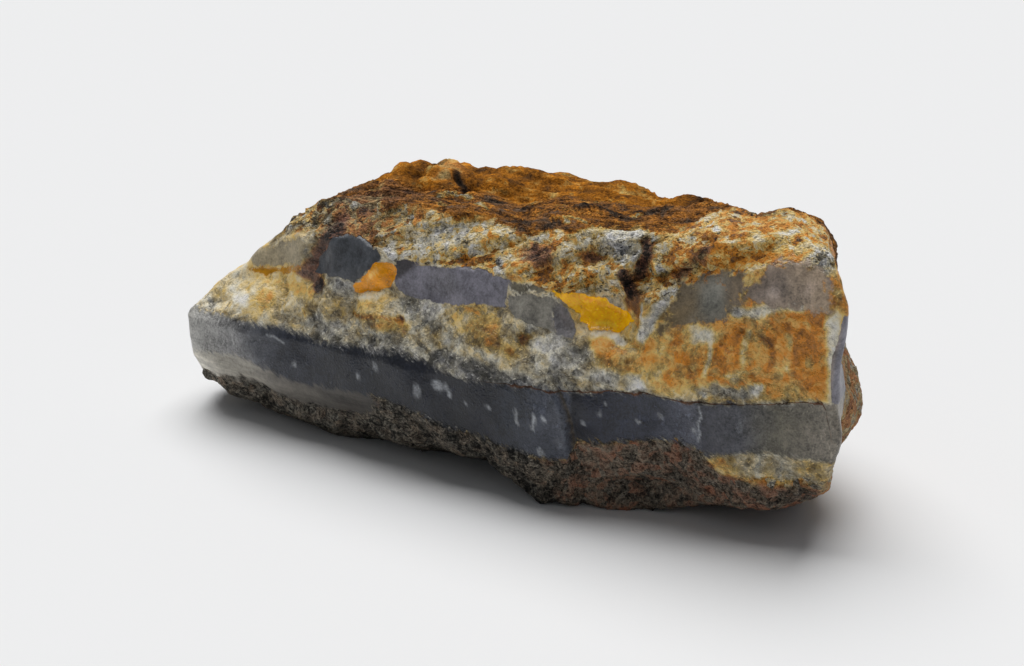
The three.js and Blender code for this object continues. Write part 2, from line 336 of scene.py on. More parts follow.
    # Low swells all over: amplitude, wave vector and phase
    swells: tuple[tuple[float, tuple[float, float, float], float], ...] = (
        (0.45, (0.32, 0.21, 0.27), 0.4),
        (0.40, (-0.21, 0.34, 0.30), 2.1),
        (0.35, (0.52, -0.33, 0.40), 1.2),
        (0.28, (0.17, 0.62, -0.55), 4.0),
        (0.22, (0.83, 0.31, 0.66), 0.7),
        (0.20, (-0.71, 0.55, 0.81), 3.3),
    )

    def layer_heights(self, x: Array) -> list[Array]:
        """Give the heights of the matrix skin and of the five layers' roofs.

        Args:
            x: places along the stone, in mm.

        Returns:
            Six heights at each place, the lowest first.
        """
        curves = (
            self.lower_blue_floor, self.lower_blue_roof, self.quartz_roof, self.upper_blue_roof,
            self.crust_roof,
        )
        heights = [along(curve, x) for curve in curves]
        return [np.minimum(heights[0] - self.skin_thickness, self.skin_highest), *heights]

    def layer_at(self, x: Array, z: Array) -> Array:
        """Number the layer of each place: 0 in the matrix, 1 to 5 at the layers' heights."""
        heights = self.layer_heights(x)
        return sum(
            np.clip((z - low) / np.maximum(high - low, self.thinnest_layer), 0, 1)
            for low, high in zip(heights, heights[1:])
        )

    def front_side(self, x: Array, z: Array) -> Array:
        """Give y of the broken front.

        It is the plan plus each layer's set-back, the two breaks of the lower band and the marks,
        less the rib, plus the ledges of the crust.

        Args:
            x: places along the stone, in mm.
            z: their heights.

        Returns:
            How far back the front lies at each place.
        """
        layer = self.layer_at(x, z)
        share = np.where(layer > 2, along(self.setback_share, x), 1.0)
        y = along(self.front_plan, x) + along(self.layer_setback, layer) * share
        in_lower_band = 1 - self.above_band.at(layer)
        past_break = x - self.break_line(z)
        break_step = self.break_step.at(past_break) * (1 - self.break_fading.at(past_break))
        y = y + (break_step + self.second_break.at(x)) * in_lower_band
        y = y + sum_of_marks(self.front_marks, x, z) - self.rib_height(x, z)
        climbing = ledge((z - self.crust_climb * x) / self.crust_spacing) - 0.5
        return y + self.crust_ledges.at(layer) * climbing

    def break_line(self, z: Array) -> Array:
        """Give x of the break across the lower band: it leans by the square of the height over its bend."""
        return self.break_x - self.break_lean * np.maximum(z - self.break_bend, 0) ** 2

    def rib_height(self, x: Array, z: Array) -> Array:
        """Give the height of the pale rib, which falls evenly from its line to its edges."""
        away = distance_to_path(self.rib_line, x, z) / self.rib_half_width
        return self.rib_top * np.maximum(1 - away, 0)

    def back_side(self, x: Array, z: Array) -> Array:
        """Give y of the back: its plan, leaning in at the top and the foot, less its marks."""
        lean = self.lean_at_top.at(z) + self.out_of_foot.height - self.out_of_foot.at(z)
        return along(self.back_plan, x) - lean - sum_of_marks(self.back_marks, x, z)

    def pointed_end(self, y: Array, z: Array) -> Array:
        """Give x of the pointed end: its profile, which curls in towards the back."""
        return along(self.pointed_profile, z) + self.curl_slope * np.maximum(y - self.curl_start, 0)

    def blunt_end(self, y: Array, z: Array) -> Array:
        """Give x of the blunt end.

        It is the profile, less the slant, plus a bulge: e to the power of minus the squared distance.

        Args:
            y: places from front to back, in mm.
            z: their heights.

        Returns:
            How far the end reaches at each place.
        """
        middle_y, middle_z = self.bulge_place
        distance = ((z - middle_z) ** 2 + (y - middle_y) ** 2) / self.bulge_radius ** 2
        bulge = self.bulge_height * np.exp(-distance)
        return along(self.blunt_profile, z) - self.slant * (y - self.slant_start) + bulge

    def top_side(self, x: Array, y: Array) -> Array:
        """Give z of the top.

        It is the crust's roof plus the lip, the valley, the dip, the back ridge and the ledges, less
        the crack.

        Args:
            x: places along the stone, in mm.
            y: places from front to back.

        Returns:
            The height of the top at each place.
        """
        z = along(self.crust_roof, x) + self.lip.at(y) + self.valley.at(y)
        z = z + self.dip.at(y) * np.exp(-((x - self.dip_x) / self.dip_half_width) ** 2)
        z = z + along(self.back_ridge, x) * self.ridge_share.at(y)
        z = z - self.ridge_fall * np.maximum(y - self.ridge_crest, 0)
        step = ledge((y + self.top_turn * x + np.sin(self.top_wave * x)) / self.top_spacing) - 0.5
        z = z + self.top_ledges.at(y) * step
        past_x, past_y = x - self.crack_place[0], y - self.crack_place[1]
        crack = np.hypot(past_x - self.crack_lean * past_y, past_y / self.crack_half_length)
        return z - self.crack_depth * np.maximum(1 - crack, 0)

    def under_side(self, x: Array, y: Array) -> Array:
        """Give z of the underside: from its front edge to its middle, with its hollows.

        Args:
            x: places along the stone, in mm.
            y: places from front to back.

        Returns:
            The height of the underside at each place.
        """
        inward = self.under_inward.at(y)
        base = along(self.under_front, x) * (1 - inward) + along(self.under_middle, x) * inward
        return base + sum_of_marks(self.under_marks, x, y)

    def sides(self, x: Array, y: Array, z: Array) -> list[Array]:
        """Give how far each place is outside each of the six sides, in the order of Side."""
        return [
            self.front_side(x, z) - y,
            y - self.back_side(x, z),
            z - self.top_side(x, y),
            self.under_side(x, y) - z,
            self.pointed_end(y, z) - x,
            x - self.blunt_end(y, z),
        ]

    def rounded_max(self, first: Array, second: Array) -> Array:
        """Take the larger of two values, raised where they are close."""
        closeness = np.maximum(self.edge_rounding - np.abs(first - second), 0) / self.edge_rounding
        return np.maximum(first, second) + closeness ** 2 * self.edge_rounding / 4

    def depth(self, points: Array) -> Array:
        """Give the depth function: negative inside the stone, positive outside.

        Args:
            points: places in mm, with x, y and z along the last axis.

        Returns:
            The rounded maximum of the six sides plus the swells, but at least minus z.
        """
        x, y, z = np.moveaxis(points, -1, 0)
        first, *others = self.sides(x, y, z)
        for other in others:
            first = self.rounded_max(first, other)
        swell = sum(
            height * np.sin(points @ np.array(wave) + phase) for height, wave, phase in self.swells)
        return np.maximum(first + self.swell_share * swell, -z)


@dataclass(frozen=True)
class RingGrid:
    """Rays that leave a spine inside the stone, in rings from its pointed end to its blunt end."""

    form: StoneForm
    rings: int = 338
    ring_points: int = 290
    spine_start: tuple[float, float, float] = (-36, 1.5, 8)
    spine_end: tuple[float, float, float] = (26, 2, 15)
    pointed_cap: float = 0.10
    blunt_cap: float = 0.24
    longest_ray: float = 70
    halvings: int = 22
    evening_passes: int = 2
    evening_slack: float = 0.25

    def surface_points(self, along_stone: Array, angle: Array) -> Array:
        """Find the stone's surface along each ray by halving.

        A ray starts on the spine and leans towards an end in that end's cap, so its direction is
        (sine of tilt, cosine of tilt times cosine of angle, cosine of tilt times sine of angle).

        Args:
            along_stone: each ring's place from 0 at the pointed end to 1 at the blunt end.
            angle: the angle round the spine of each point of each ring.

        Returns:
            The surface points in mm, as rings by points by 3.
        """
        place = np.broadcast_to(along_stone[:, None], angle.shape)
        to_pointed = np.clip(1 - place / self.pointed_cap, 0, 1)
        to_blunt = np.clip(1 - (1 - place) / self.blunt_cap, 0, 1)
        share = np.clip((place - self.pointed_cap) / (1 - self.pointed_cap - self.blunt_cap), 0, 1)
        start, end = np.array(self.spine_start), np.array(self.spine_end)
        origin = start + (end - start) * share[..., None]
        tilt = (to_blunt - to_pointed) * math.pi / 2
        ray = np.stack((np.sin(tilt), np.cos(tilt) * np.cos(angle), np.cos(tilt) * np.sin(angle)), -1)
        inside, outside = np.zeros(angle.shape), np.full(angle.shape, float(self.longest_ray))
        for _ in range(self.halvings):
            middle = (inside + outside) / 2
            within = self.form.depth(origin + ray * middle[..., None]) < 0
            inside = np.where(within, middle, inside)
            outside = np.where(within, outside, middle)
        return origin + ray * ((inside + outside) / 2)[..., None]

    def even_angles(self, points: Array, angle: Array) -> Array:
        """Move the points of each ring until they stand evenly round it.

        Args:
            points: the rings' points.
            angle: the angles that they were found at.

        Returns:
            Angles at equal steps of the distance travelled round each ring.
        """
        steps = np.linalg.norm(np.roll(points, -1, 1) - points, axis=-1)
        steps = steps + self.evening_slack * steps.mean(1, keepdims=True)
        evened = angle.copy()
        for ring in np.flatnonzero(steps.sum(1) > 1e-6):
            travelled = np.concatenate(([0.0], np.cumsum(steps[ring])))
            closed = np.append(angle[ring], angle[ring, 0] + 2 * math.pi)
            wanted = np.linspace(0, travelled[-1], self.ring_points, endpoint=False)
            evened[ring] = np.interp(wanted, travelled, closed)
        return evened

    def even_rings(self, points: Array, along_stone: Array) -> Array:
        """Move the rings until they stand evenly along the stone.

        The step between two rings is the mean of their longest and their mean distance.

        Args:
            points: the rings' points.
            along_stone: each ring's place from 0 to 1.

        Returns:
            Places at equal steps of the distance travelled along the stone.
        """
        steps = np.linalg.norm(np.diff(points, axis=0), axis=-1)
        travelled = np.concatenate(([0.0], np.cumsum((steps.max(1) + steps.mean(1)) / 2)))
        return np.interp(np.linspace(0, travelled[-1], self.rings), travelled, along_stone)

    def points(self) -> Array:
        """Give the even grid of surface points.

        Returns:
            The points in mm, as rings by points by 3.
        """
        along_stone = np.linspace(0, 1, self.rings)
        round_stone = np.linspace(0, 2 * math.pi, self.ring_points, endpoint=False)
        angle = np.tile(round_stone, (self.rings, 1))
        for _ in range(self.evening_passes):
            found = self.surface_points(along_stone, angle)
            angle = self.even_angles(found, angle)
            along_stone = self.even_rings(found, along_stone)
        return self.surface_points(along_stone, angle)

    @staticmethod
    def evenness(points: Array, usual_step: float = 0.42, least: float = 0.1) -> Array:
        """Say how fine the grid is at each point: less where points stand far apart on a steep wall.

        Args:
            points: the grid's points, in mm.
            usual_step: the widest step that counts as fine.
            least: what is left on the widest steps.

        Returns:
            The square of the usual step's share of the widest step: 1 where the grid is fine.
        """
        round_ring = np.linalg.norm(np.roll(points, -1, 1) - np.roll(points, 1, 1), axis=-1) / 2
        along_stone = np.linalg.norm(np.gradient(points, axis=0), axis=-1)
        widest = np.maximum(np.maximum(round_ring, along_stone), usual_step)
        return np.maximum((usual_step / widest) ** 2, least)

    @staticmethod
    def normals(points: Array) -> Array:
        """Give the outward normals: the step round the ring crossed with the step along the stone.

        Args:
            points: the grid's points, in mm.

        Returns:
            A unit vector at each point, along X at the two poles.
        """
        round_ring = np.roll(points, -1, 1) - np.roll(points, 1, 1)
        along_stone = np.gradient(points, axis=0)
        normal = np.cross(round_ring, along_stone)
        length = np.linalg.norm(normal, axis=-1, keepdims=True)
        normal = normal / np.maximum(length, 1e-12)
        normal[0] = (-1.0, 0.0, 0.0)
        normal[-1] = (1.0, 0.0, 0.0)
        return normal


class Noise:
    """Repeatable noise in space, from whole-number hashes of the places of a lattice."""

    # Odd numbers that spread a cell's place, a seed and then their mixture over 32 bits
    cell_factors = (73856093, 19349663, 83492791)
    seed_factor = 49979687
    mixing_rounds = ((13, 1274126177), (15, 668265263))
    last_shift = 16
    word = 2 ** 32
    # What brings the noise to about -1 to 1
    swirl_gain = 1.6

    @classmethod
    def scatter(cls, cells: Array, seed: int) -> Array:
        """Turn lattice places into numbers from 0 to 1 that look random.

        Args:
            cells: whole-number places, with x, y and z along the last axis.
            seed: which scatter.

        Returns:
            A number for each place.
        """
        x, y, z = (cells[..., axis] * factor for axis, factor in enumerate(cls.cell_factors))
        mixed = x ^ y ^ z ^ seed * cls.seed_factor
        for shift, factor in cls.mixing_rounds:
            mixed = (mixed ^ (mixed >> shift)) * factor & (cls.word - 1)
        return (mixed ^ (mixed >> cls.last_shift)) / cls.word

    @classmethod
    def scattered_vectors(cls, cells: Array, seed: int) -> Array:
        """Turn lattice places into vectors with numbers from 0 to 1 that look random."""
        return np.stack([cls.scatter(cells, seed + axis) for axis in range(3)], -1)

    @classmethod
    def swirl(cls, points: Array, size: float, seed: int) -> Array:
        """Give gradient noise from about -1 to 1.

        Each corner of a lattice cell has a random slope. The noise is the slopes' heights at the
        place, blended across the cell by the quintic 6t^5 less 15t^4 plus 10t^3.

        Args:
            points: places in mm.
            size: side of a lattice cell in mm.
            seed: which noise.

        Returns:
            The noise at each place.
        """
        scaled = points / size
        corner = np.floor(scaled).astype(np.int64)
        part = scaled - corner
        blend = part ** 3 * (part * (part * 6 - 15) + 10)
        total = np.zeros(points.shape[:-1])
        for step in product((0, 1), repeat=3):
            offset = np.array(step)
            slope = cls.scattered_vectors(corner + offset, seed) * 2 - 1
            weight = np.prod(np.where(offset == 1, blend, 1 - blend), axis=-1)
            total += weight * np.sum(slope * (part - offset), axis=-1)
        return total * cls.swirl_gain

    @classmethod
    def layered(cls, points: Array, size: float, seed: int, octaves: int = 4,
                fall: float = 0.55) -> Array:
        """Add up ever finer noise, each layer half the size and fall times the strength of the last.

        Args:
            points: places in mm.
            size: side of the coarsest layer's lattice cell in mm.
            seed: which noise.
            octaves: how many layers.
            fall: each layer's share of the strength of the one before.

        Returns:
            The sum at each place, divided by the sum of the strengths.
        """
        total, strength, reach = np.zeros(points.shape[:-1]), 1.0, 0.0
        for octave in range(octaves):
            total += strength * cls.swirl(points, size / 2 ** octave, seed + 7 * octave)
            reach += strength
            strength *= fall
        return total / reach

    @classmethod
    def facets(cls, points: Array, size: float, seed: int, tilt: float = 0.9) -> Array:
        """Give the height of a pile of crystal grains, from about -1 to 1.

        Space is parted among scattered seeds, one in each lattice cell. The height over each seed's
        part is a flat facet with a tilt of its own, less the squared distance from the seed.

        Args:
            points: places in mm.
            size: usual distance between grains in mm.
            seed: which pile.
            tilt: how far the facets lean.

        Returns:
            The height at each place.
        """
        scaled = points / size
        corner = np.floor(scaled).astype(np.int64)
        nearest = np.full(points.shape[:-1], 9.0)
        height = np.zeros(points.shape[:-1])
        for step in product((-1, 0, 1), repeat=3):
            cell = corner + np.array(step)
            offset = scaled - cell - cls.scattered_vectors(cell, seed)
            slope = cls.scattered_vectors(cell, seed + 3) * 2 - 1
            distance = np.sum(offset ** 2, axis=-1)
            closer = distance < nearest
            facet = 0.5 - distance + tilt * np.sum(slope * offset, axis=-1)
            height = np.where(closer, facet, height)
            nearest = np.where(closer, distance, nearest)
        return height


class Field(Enum):
    """The numbers that the mesh holds at each point.

    The first eight are the mm inside a mineral's border, and the next two the signed mm from a
    seam. Iron runs from clean quartz, 0, to dark rust, 1, light from dark, 0, to bright, 1, and
    earth from clean mineral, 0, to brown earth, 1. Light is mostly the minerals' own lightness, but
    some marks lower it as painted shade: in the pit, the holes and the crack, beside the yellow hollow
    and under a swell. Relief is the height over the plain form in mm, which the finishes also turn
    into painted shade in hollows and painted light on raised grains.
    """

    BLUE_BAND = "blue_band"
    BLUE_LENS = "blue_lens"
    AMBER = "amber"
    CRUST = "crust"
    RUST = "rust"
    OCHRE = "ochre"
    MATRIX = "matrix"
    CREAM_BAND = "cream_band"
    ROOF_SEAM = "roof_seam"
    BREAK_SEAM = "break_seam"
    IRON = "iron"
    LIGHT = "light"
    EARTH = "earth"
    RELIEF = "relief"


@dataclass(frozen=True)
class Patch:
    """A patch of one mineral on the front: its outline in x and z in mm, its colour and its softness.

    Where two patches meet, the one that a place is deeper inside shows. A high softness makes a
    patch end slowly, and one below 1 makes it show over the patch that it lies in.
    """

    outline: Curve
    colour: str
    softness: float = 1.0

    def inside(self, x: Array, z: Array) -> Array:
        """Give the signed distance to the outline in mm, divided by the softness."""
        return depth_in_outline(self.outline, x, z) / self.softness


@dataclass(frozen=True)
class Stain:
    """A soft place on one side: its middle and half sizes in mm, and the iron and light that it has."""

    across: float
    up: float
    half_width: float
    half_height: float
    iron: float
    light: float
    strength: float = 1.0
    depth: float = 0.0
    earth: float = 0.0

    def share(self, across: Array, up: Array) -> Array:
        """Give the stain's share: full in its middle, nothing past its edge."""
        reach = np.hypot((across - self.across) / self.half_width, (up - self.up) / self.half_height)
        return self.strength * (1 - smooth_step(reach, 0.35, 1.25))


@dataclass(frozen=True)
class Seam:
    """A thin line on one side: its points and half width in mm, and the iron and light that it has."""

    points: Curve
    half_width: float
    iron: float
    light: float
    strength: float = 1.0
    depth: float = 0.0
    earth: float = 0.0

    def share(self, across: Array, up: Array) -> Array:
        """Give the line's share: full along its middle, nothing past twice its half width."""
        reach = distance_to_path(self.points, across, up) / self.half_width
        return self.strength * (1 - smooth_step(reach, 0.3, 1.6))


@dataclass(frozen=True)
class Area:
    """A place with an outline on one side: its points and softness in mm, and the iron and light."""

    points: Curve
    softness: float
    iron: float
    light: float
    strength: float = 1.0
    depth: float = 0.0
    earth: float = 0.0

    def share(self, across: Array, up: Array) -> Array:
        """Give the area's share: full inside its outline, nothing outside it."""
        inside = depth_in_outline(self.points, across, up)
        return self.strength * smooth_step(inside, -self.softness, self.softness)


DrawnMark = Stain | Seam | Area


@dataclass(frozen=True)
class Drawing:
    """What is drawn on the stone, in mm: on the front in x and z, and on the top in x and y.

    Each mark ends with its iron and light, and where they aren't the usual ones with its strength,
    the depth that it is sunk by and its earth.
    """

    # The lower blue band's top and foot along the stone
    band_top: Curve = (
        (-44, 12.4), (-34.5, 12.8), (-26.4, 13.4), (-23, 12.9), (-16.3, 13.3), (-9.2, 14.5), (-6, 13.9),
        (-2.6, 13.3), (1.6, 13.4), (5.1, 14.1), (12, 14.4), (20, 15.2), (27, 15.8), (31.3, 15.7),
        (37, 16.9), (41, 17.2),
    )
    band_foot: Curve = (
        (-44, 7.2), (-38.4, 7.8), (-32.6, 8.6), (-24.3, 7.3), (-13.3, 8.4), (-9, 8.3), (-1.2, 7.1),
        (5.6, 6.9), (8.6, 6.2), (12, 6.4), (12.9, 8.5), (20, 9.6), (24.5, 10.3), (27.9, 9.6),
        (33.5, 10.7), (41, 10.8),
    )
    # Its colour along the stone, and that of the pale band under it. It pales towards the pointed end
    # as painted light and reflection where the band turns up and to the left. At the first break it is
    # lighter just left of the step, as painted light on its edge, and near-black just right of it, as
    # the step's painted shadow; at the second break a bright edge is painted light on the step.
    band_tints: tuple[tuple[float, str], ...] = (
        (-41, "#a2a09a"), (-34, "#8c8b8a"), (-30, "#52545a"), (-25, "#2d3039"), (-14, "#1f222a"),
        (3, "#191c25"), (5.5, "#292e38"), (11, "#454954"), (12.3, "#555963"), (12.9, "#191b23"),
        (16, "#262a38"), (22, "#333744"), (26.8, "#5d606b"), (27.4, "#393a42"), (31, "#505157"),
        (35, "#605c4f"), (41, "#857e72"),
    )
    cream_tints: tuple[tuple[float, str], ...] = (
        (-41, "#d2cdc0"), (-34, "#b8b2a5"), (-27, "#79746c"), (-20, "#55514b"), (-10, "#3d3935"),
    )
    end_tint: str = "#817f87"
    # Pale chips in the band: partly their own paleness and partly painted sheen
    chip_sheen_tint: str = "#c6cad0"
    # The upper row from the pointed end: pale glass, the dark lens, a small one, the long one, three by
    # the hollow and five smoky ones at the block, each with the lighter or darker places that lie in it
    lenses: tuple[Patch, ...] = (
        Patch(((-35.4, 18.4), (-33.6, 19.8), (-30.5, 20.8), (-27.5, 22.4), (-25.2, 23.2), (-24.2, 21.2),
               (-25, 20.4), (-28, 19), (-31, 18.4)), "#a3967a", 4),
        Patch(((-23.3, 19.4), (-22.8, 21.3), (-20.9, 24), (-17.5, 24.7), (-14.2, 23.7), (-13.8, 23.1),
               (-16.2, 20.8), (-17.2, 19.8), (-19.3, 20)), "#474a4f"),
        Patch(((-22.6, 20), (-21.8, 22.4), (-20.4, 23.4), (-20.9, 21), (-21.6, 19.8)), "#5a5c60", 0.4),
        Patch(((-19.4, 22.7), (-17, 23.9), (-14.8, 23.2), (-16.6, 22.4)), "#393a40", 0.4),
        Patch(((-11.9, 23.3), (-9.2, 23.4), (-10.7, 21.8), (-11.9, 20.8), (-12.3, 21.8)), "#3f3c3f"),
        Patch(((-9.3, 23.1), (-6.9, 23.5), (-2.4, 24.3), (0.5, 24.3), (3.4, 24.2), (3.2, 21.2), (-0.7, 21),
               (-4.6, 19.9), (-6.9, 19.5), (-10, 19.7), (-11.6, 20.2), (-12.1, 21)), "#7a7881"),
        Patch(((-9, 22.6), (-5.6, 23.1), (-1.4, 23.8), (2.8, 23.8), (2.8, 23.2), (-1.4, 23.1), (-5.6, 22.5),
               (-8.6, 22.1)), "#66646d", 0.5),
        Patch(((-9.6, 20.4), (-6.4, 20.2), (-2.2, 21.2), (1.2, 21.7), (-1.4, 22), (-6.2, 21)),
              "#8a8890", 0.5),
        Patch(((3.5, 24), (6.4, 24.2), (9, 23.7), (5.9, 23.6), (3.5, 23)), "#77705e"),
        Patch(((3.5, 22.6), (6, 23.2), (8.7, 23.4), (9.5, 22.9), (9, 22), (8.9, 21), (9.6, 19.8), (7.8, 20),
               (5.1, 20.6), (3.5, 21.4)), "#88847a"),
        Patch(((4.2, 21.4), (6.2, 21), (7.6, 20.6), (7.6, 21.4), (5.4, 22.1), (4.2, 22.2)), "#747067", 0.5),
        Patch(((9.5, 22.9), (10.3, 21.9), (11.5, 20.2), (11.7, 19.4), (9.6, 19.6), (8.9, 21), (9, 22)),
              "#7f7c7e"),
        Patch(((21.3, 21.5), (22.4, 24.5), (23.7, 27), (26.2, 28.6), (26.4, 23.9), (23.3, 22.8)),
              "#746449", 5),
        Patch(((24.8, 27.7), (28.6, 28.9), (29.4, 24.3), (25, 23.7)), "#7d7c73", 5),
        Patch(((27.8, 28.8), (30.3, 29.5), (31.1, 26.8), (28.9, 24.2), (28.2, 24.2)), "#70604a", 5),
        Patch(((31.2, 27.9), (33.1, 30.8), (36.2, 31.5), (36.5, 26.9), (32.4, 26.4)), "#8b7c6f", 5),
        Patch(((32.4, 27.6), (33.8, 29.2), (35.2, 28.6), (34.2, 27.4)), "#c4b3a8", 1.4),
        Patch(((34.4, 31.2), (36.6, 31.7), (38.9, 30.5), (39.9, 28.7), (39.9, 27), (37.9, 26.9),
               (34.8, 26.9)), "#ae9a84", 5),
        Patch(((36.2, 28.2), (37.4, 30), (38.6, 29.4), (37.8, 27.8)), "#d8c2b0", 1.4),
    )
    # The amber lump with a painted highlight and a darker place, the yellow hollow darker along its top
    # and lighter below, and a line under the glass
    ambers: tuple[Patch, ...] = (
        Patch(((-14.5, 22.6), (-13.1, 22.8), (-11.8, 22.5), (-12, 21.4), (-12.5, 20.1), (-13.9, 19.5),
               (-15.8, 19), (-17.9, 18.4), (-17.2, 19.4), (-16.2, 20.5)), "#d98c00"),
        # A painted highlight on the amber lump
        Patch(((-15.2, 21.4), (-14.1, 22.3), (-13.4, 22.2), (-14.4, 21), (-15.9, 19.8)), "#ffca6e", 0.3),
        Patch(((-13, 21.9), (-12.1, 22.2), (-12.3, 21.2), (-13.1, 20.4), (-13.6, 20.8)), "#c8790c", 0.35),
        Patch(((8.4, 24.1), (11.9, 23.8), (13.8, 23.1), (15.5, 22.6), (17.7, 22.3), (18.1, 21.9),
               (17, 20.8), (16.4, 20.4), (15.4, 20.3), (13, 20), (12.1, 20.8), (10.5, 22.2), (9.1, 23.5)),
              "#ffbe02"),
        Patch(((8.8, 23.9), (12, 23.5), (13.8, 22.8), (15.6, 22.3), (17.4, 22), (15.4, 21.8), (13.4, 22.3),
               (11, 23)), "#e89c0c", 0.4),
        Patch(((13, 20.4), (15.4, 20.6), (16.8, 21), (15, 21.3), (13, 21.2)), "#ffd83c", 0.4),
        Patch(((-34.8, 17.5), (-31.6, 18.1), (-29, 18.5), (-26.9, 19.4), (-25, 20), (-25, 19.4),
               (-26.9, 18.7), (-29, 17.9), (-31.6, 17.4)), "#a8740c", 1.6),
    )
    front: tuple[DrawnMark, ...] = (
        # The pointed end: white and yellow
        Stain(-34.5, 15.8, 3.4, 1.8, 0.32, 0.92),
        Stain(-29.6, 16.4, 4.6, 1.8, 0.49, 0.93),
        Stain(-26.2, 17.2, 2.8, 1.1, 0.53, 0.8),
        Stain(-33, 14.7, 1.9, 0.6, 0.16, 0.98, 0.8),
        Stain(-29.5, 16.5, 0.9, 0.3, 0.3, 0.98, 0.8),
        Seam(((-39.5, 12.3), (-34.5, 13), (-30, 13.5)), 0.3, 0.5, 0.6, 0.6),
        Seam(((-31, 21.3), (-28.6, 22.8), (-26.4, 24.4)), 0.6, 0.45, 0.5),
        Stain(-25.6, 21.6, 1.3, 1.6, 0.34, 0.46, 0.8, earth=0.3),
        # Between the pit and the amber lump
        Stain(-21.5, 16.2, 3.8, 0.9, 0.42, 0.36),
        Stain(-21.5, 14.4, 4.5, 1.0, 0.24, 0.45),
        Stain(-18.7, 19.1, 2.2, 1.3, 0.12, 0.62),
        Seam(((-21.2, 24.4), (-22.4, 22.2), (-23.8, 19.8)), 1.2, 0.95, 0.5, earth=1),
        Seam(((-25.6, 19.3), (-23.9, 19.2), (-22.2, 18.3)), 0.5, 0.85, 0.34, earth=1),
        # The pit's deepest spot and its upper end, painted near-black as the shade in it
        Stain(-22.2, 18.3, 0.7, 0.5, 0.8, 0.02, 1, 0.15, 1),
        Stain(-21.5, 24.2, 1.2, 0.8, 0.8, 0.18, 0.9, 0, 1),
        # Below the amber lump
        Stain(-14.2, 18.2, 3.6, 1.3, 0.5, 0.88),
        Stain(-14.2, 15.9, 1.8, 0.8, 0.34, 0.66),
        Stain(-11.2, 16.5, 3.2, 0.6, 0.64, 0.5, 0.8),
        Seam(((-17.2, 16.3), (-14.4, 17.1), (-12.5, 17.4), (-10, 17.1)), 0.22, 0.86, 0.3, 0.6),
        Stain(-10.1, 17.2, 0.7, 0.25, 0.9, 0.05, earth=1),
        Seam(((-17.8, 17.8), (-15.4, 18.5), (-13.4, 19.1), (-11.9, 19.9)), 0.22, 0.25, 1.0, 0.8),
        Stain(-13, 23.7, 0.9, 0.7, 0.08, 0.95),
        # The middle
        Stain(-7.6, 18.4, 3, 1.5, 0.2, 0.5),
        Seam(((-5.6, 19.5), (-4.4, 18.3)), 0.25, 0.2, 0.85),
        Stain(-2.4, 18.7, 2.6, 1.0, 0.42, 0.74),
        Stain(-0.6, 20.4, 1.8, 0.4, 0.6, 0.65),
        Stain(1.2, 18.6, 2.8, 1.8, 0.58, 0.5),
        Stain(3.9, 17.7, 2, 1.0, 0.54, 0.44),
        Stain(6, 18.8, 0.8, 0.5, 0.76, 0.25, 0.8),
        Seam(((-7.3, 16.9), (-6.1, 15.8), (-4.8, 15.2)), 0.35, 0.25, 0.85),
        Seam(((-3.8, 16.7), (-1.2, 16.5), (1.2, 16.6), (3.4, 16), (5.5, 15.5)), 0.45, 0.3, 0.78),
        Stain(-0.5, 14.9, 6.5, 0.9, 0.16, 0.25),
        Stain(8.8, 18.6, 1.9, 0.9, 0.08, 0.74),
        Stain(11.4, 17.6, 1.6, 1.4, 0.12, 0.66),
        Stain(11.6, 21, 1.6, 1.5, 0.46, 0.8),
        Stain(18.8, 22.6, 0.9, 1.3, 0.7, 0.5),
        Stain(11.5, 15.9, 3, 0.9, 0.25, 0.38),
        # The orange side
        Stain(17, 18.3, 2.6, 1.2, 0.56, 0.58),
        Stain(16.8, 16.4, 2.8, 1.2, 0.2, 0.5),
        Stain(20.1, 16.3, 1.3, 0.9, 0.04, 0.78),
        Stain(21.6, 20, 2.8, 1.4, 0.64, 1.04),
        Stain(24, 18.4, 3.4, 1.6, 0.64, 0.94),
        Stain(26.2, 22.3, 1.9, 1.2, 0.3, 0.86),
        Stain(29.3, 21.2, 2.6, 1.6, 0.7, 0.82),
        Stain(33.6, 21.8, 2.8, 1.9, 0.66, 0.93),
        Stain(37.6, 22, 3.2, 5, 0.72, 0.88),
        # Painted shadow under the swell of the orange quartz
        Stain(30.2, 17.3, 3.8, 0.9, 0.14, 0.42, 0.85, earth=0.3),
        Stain(30.4, 18.9, 2, 0.6, 0.34, 0.74),
        Stain(35.5, 17.8, 3, 1.0, 0.58, 0.8),
        Seam(((27.4, 21.8), (27.8, 20.2), (27.4, 18.6)), 0.3, 0.16, 0.92, 0.6),
        Seam(((31.4, 23.4), (31.2, 21.4), (31.6, 19.6)), 0.3, 0.2, 0.9, 0.5),
        Seam(((36, 23.8), (36.4, 22), (36, 20.4)), 0.3, 0.3, 0.94, 0.5),
        Stain(27.9, 16.6, 0.7, 0.4, 0.05, 0.8),
        Stain(32.9, 17.6, 0.8, 0.5, 0.05, 0.8),
        Seam(((32.7, 23.2), (34.1, 22.6), (34.4, 21.4), (34, 20)), 0.35, 0.82, 0.25, 0.6, 0.1),
        Stain(15.8, 19.3, 2.8, 1, 0.64, 1.0),
        Seam(((13.6, 19.7), (15.2, 20.2), (17.4, 19.8)), 0.28, 0.2, 1.2, 0.9),
        Seam(((40.5, 26.5), (40.7, 24), (41, 20.7), (41.2, 17.5)), 0.75, 0.2, 1.08, 0.95),
        # The rib, the hollow and the arch
        # Painted brown shade at the upper end of the yellow hollow, below the hole
        Stain(17.7, 24.2, 1.7, 1.3, 0.84, 0.4, earth=0.5),
        Seam(((19.5, 20.9), (20.4, 22.6), (21.2, 24.2), (22.3, 26.1)), 0.6, 0.12, 0.84),
        Area(((18.4, 22.2), (19.3, 24.4), (20, 23)), 0.2, 0.1, 0.86),
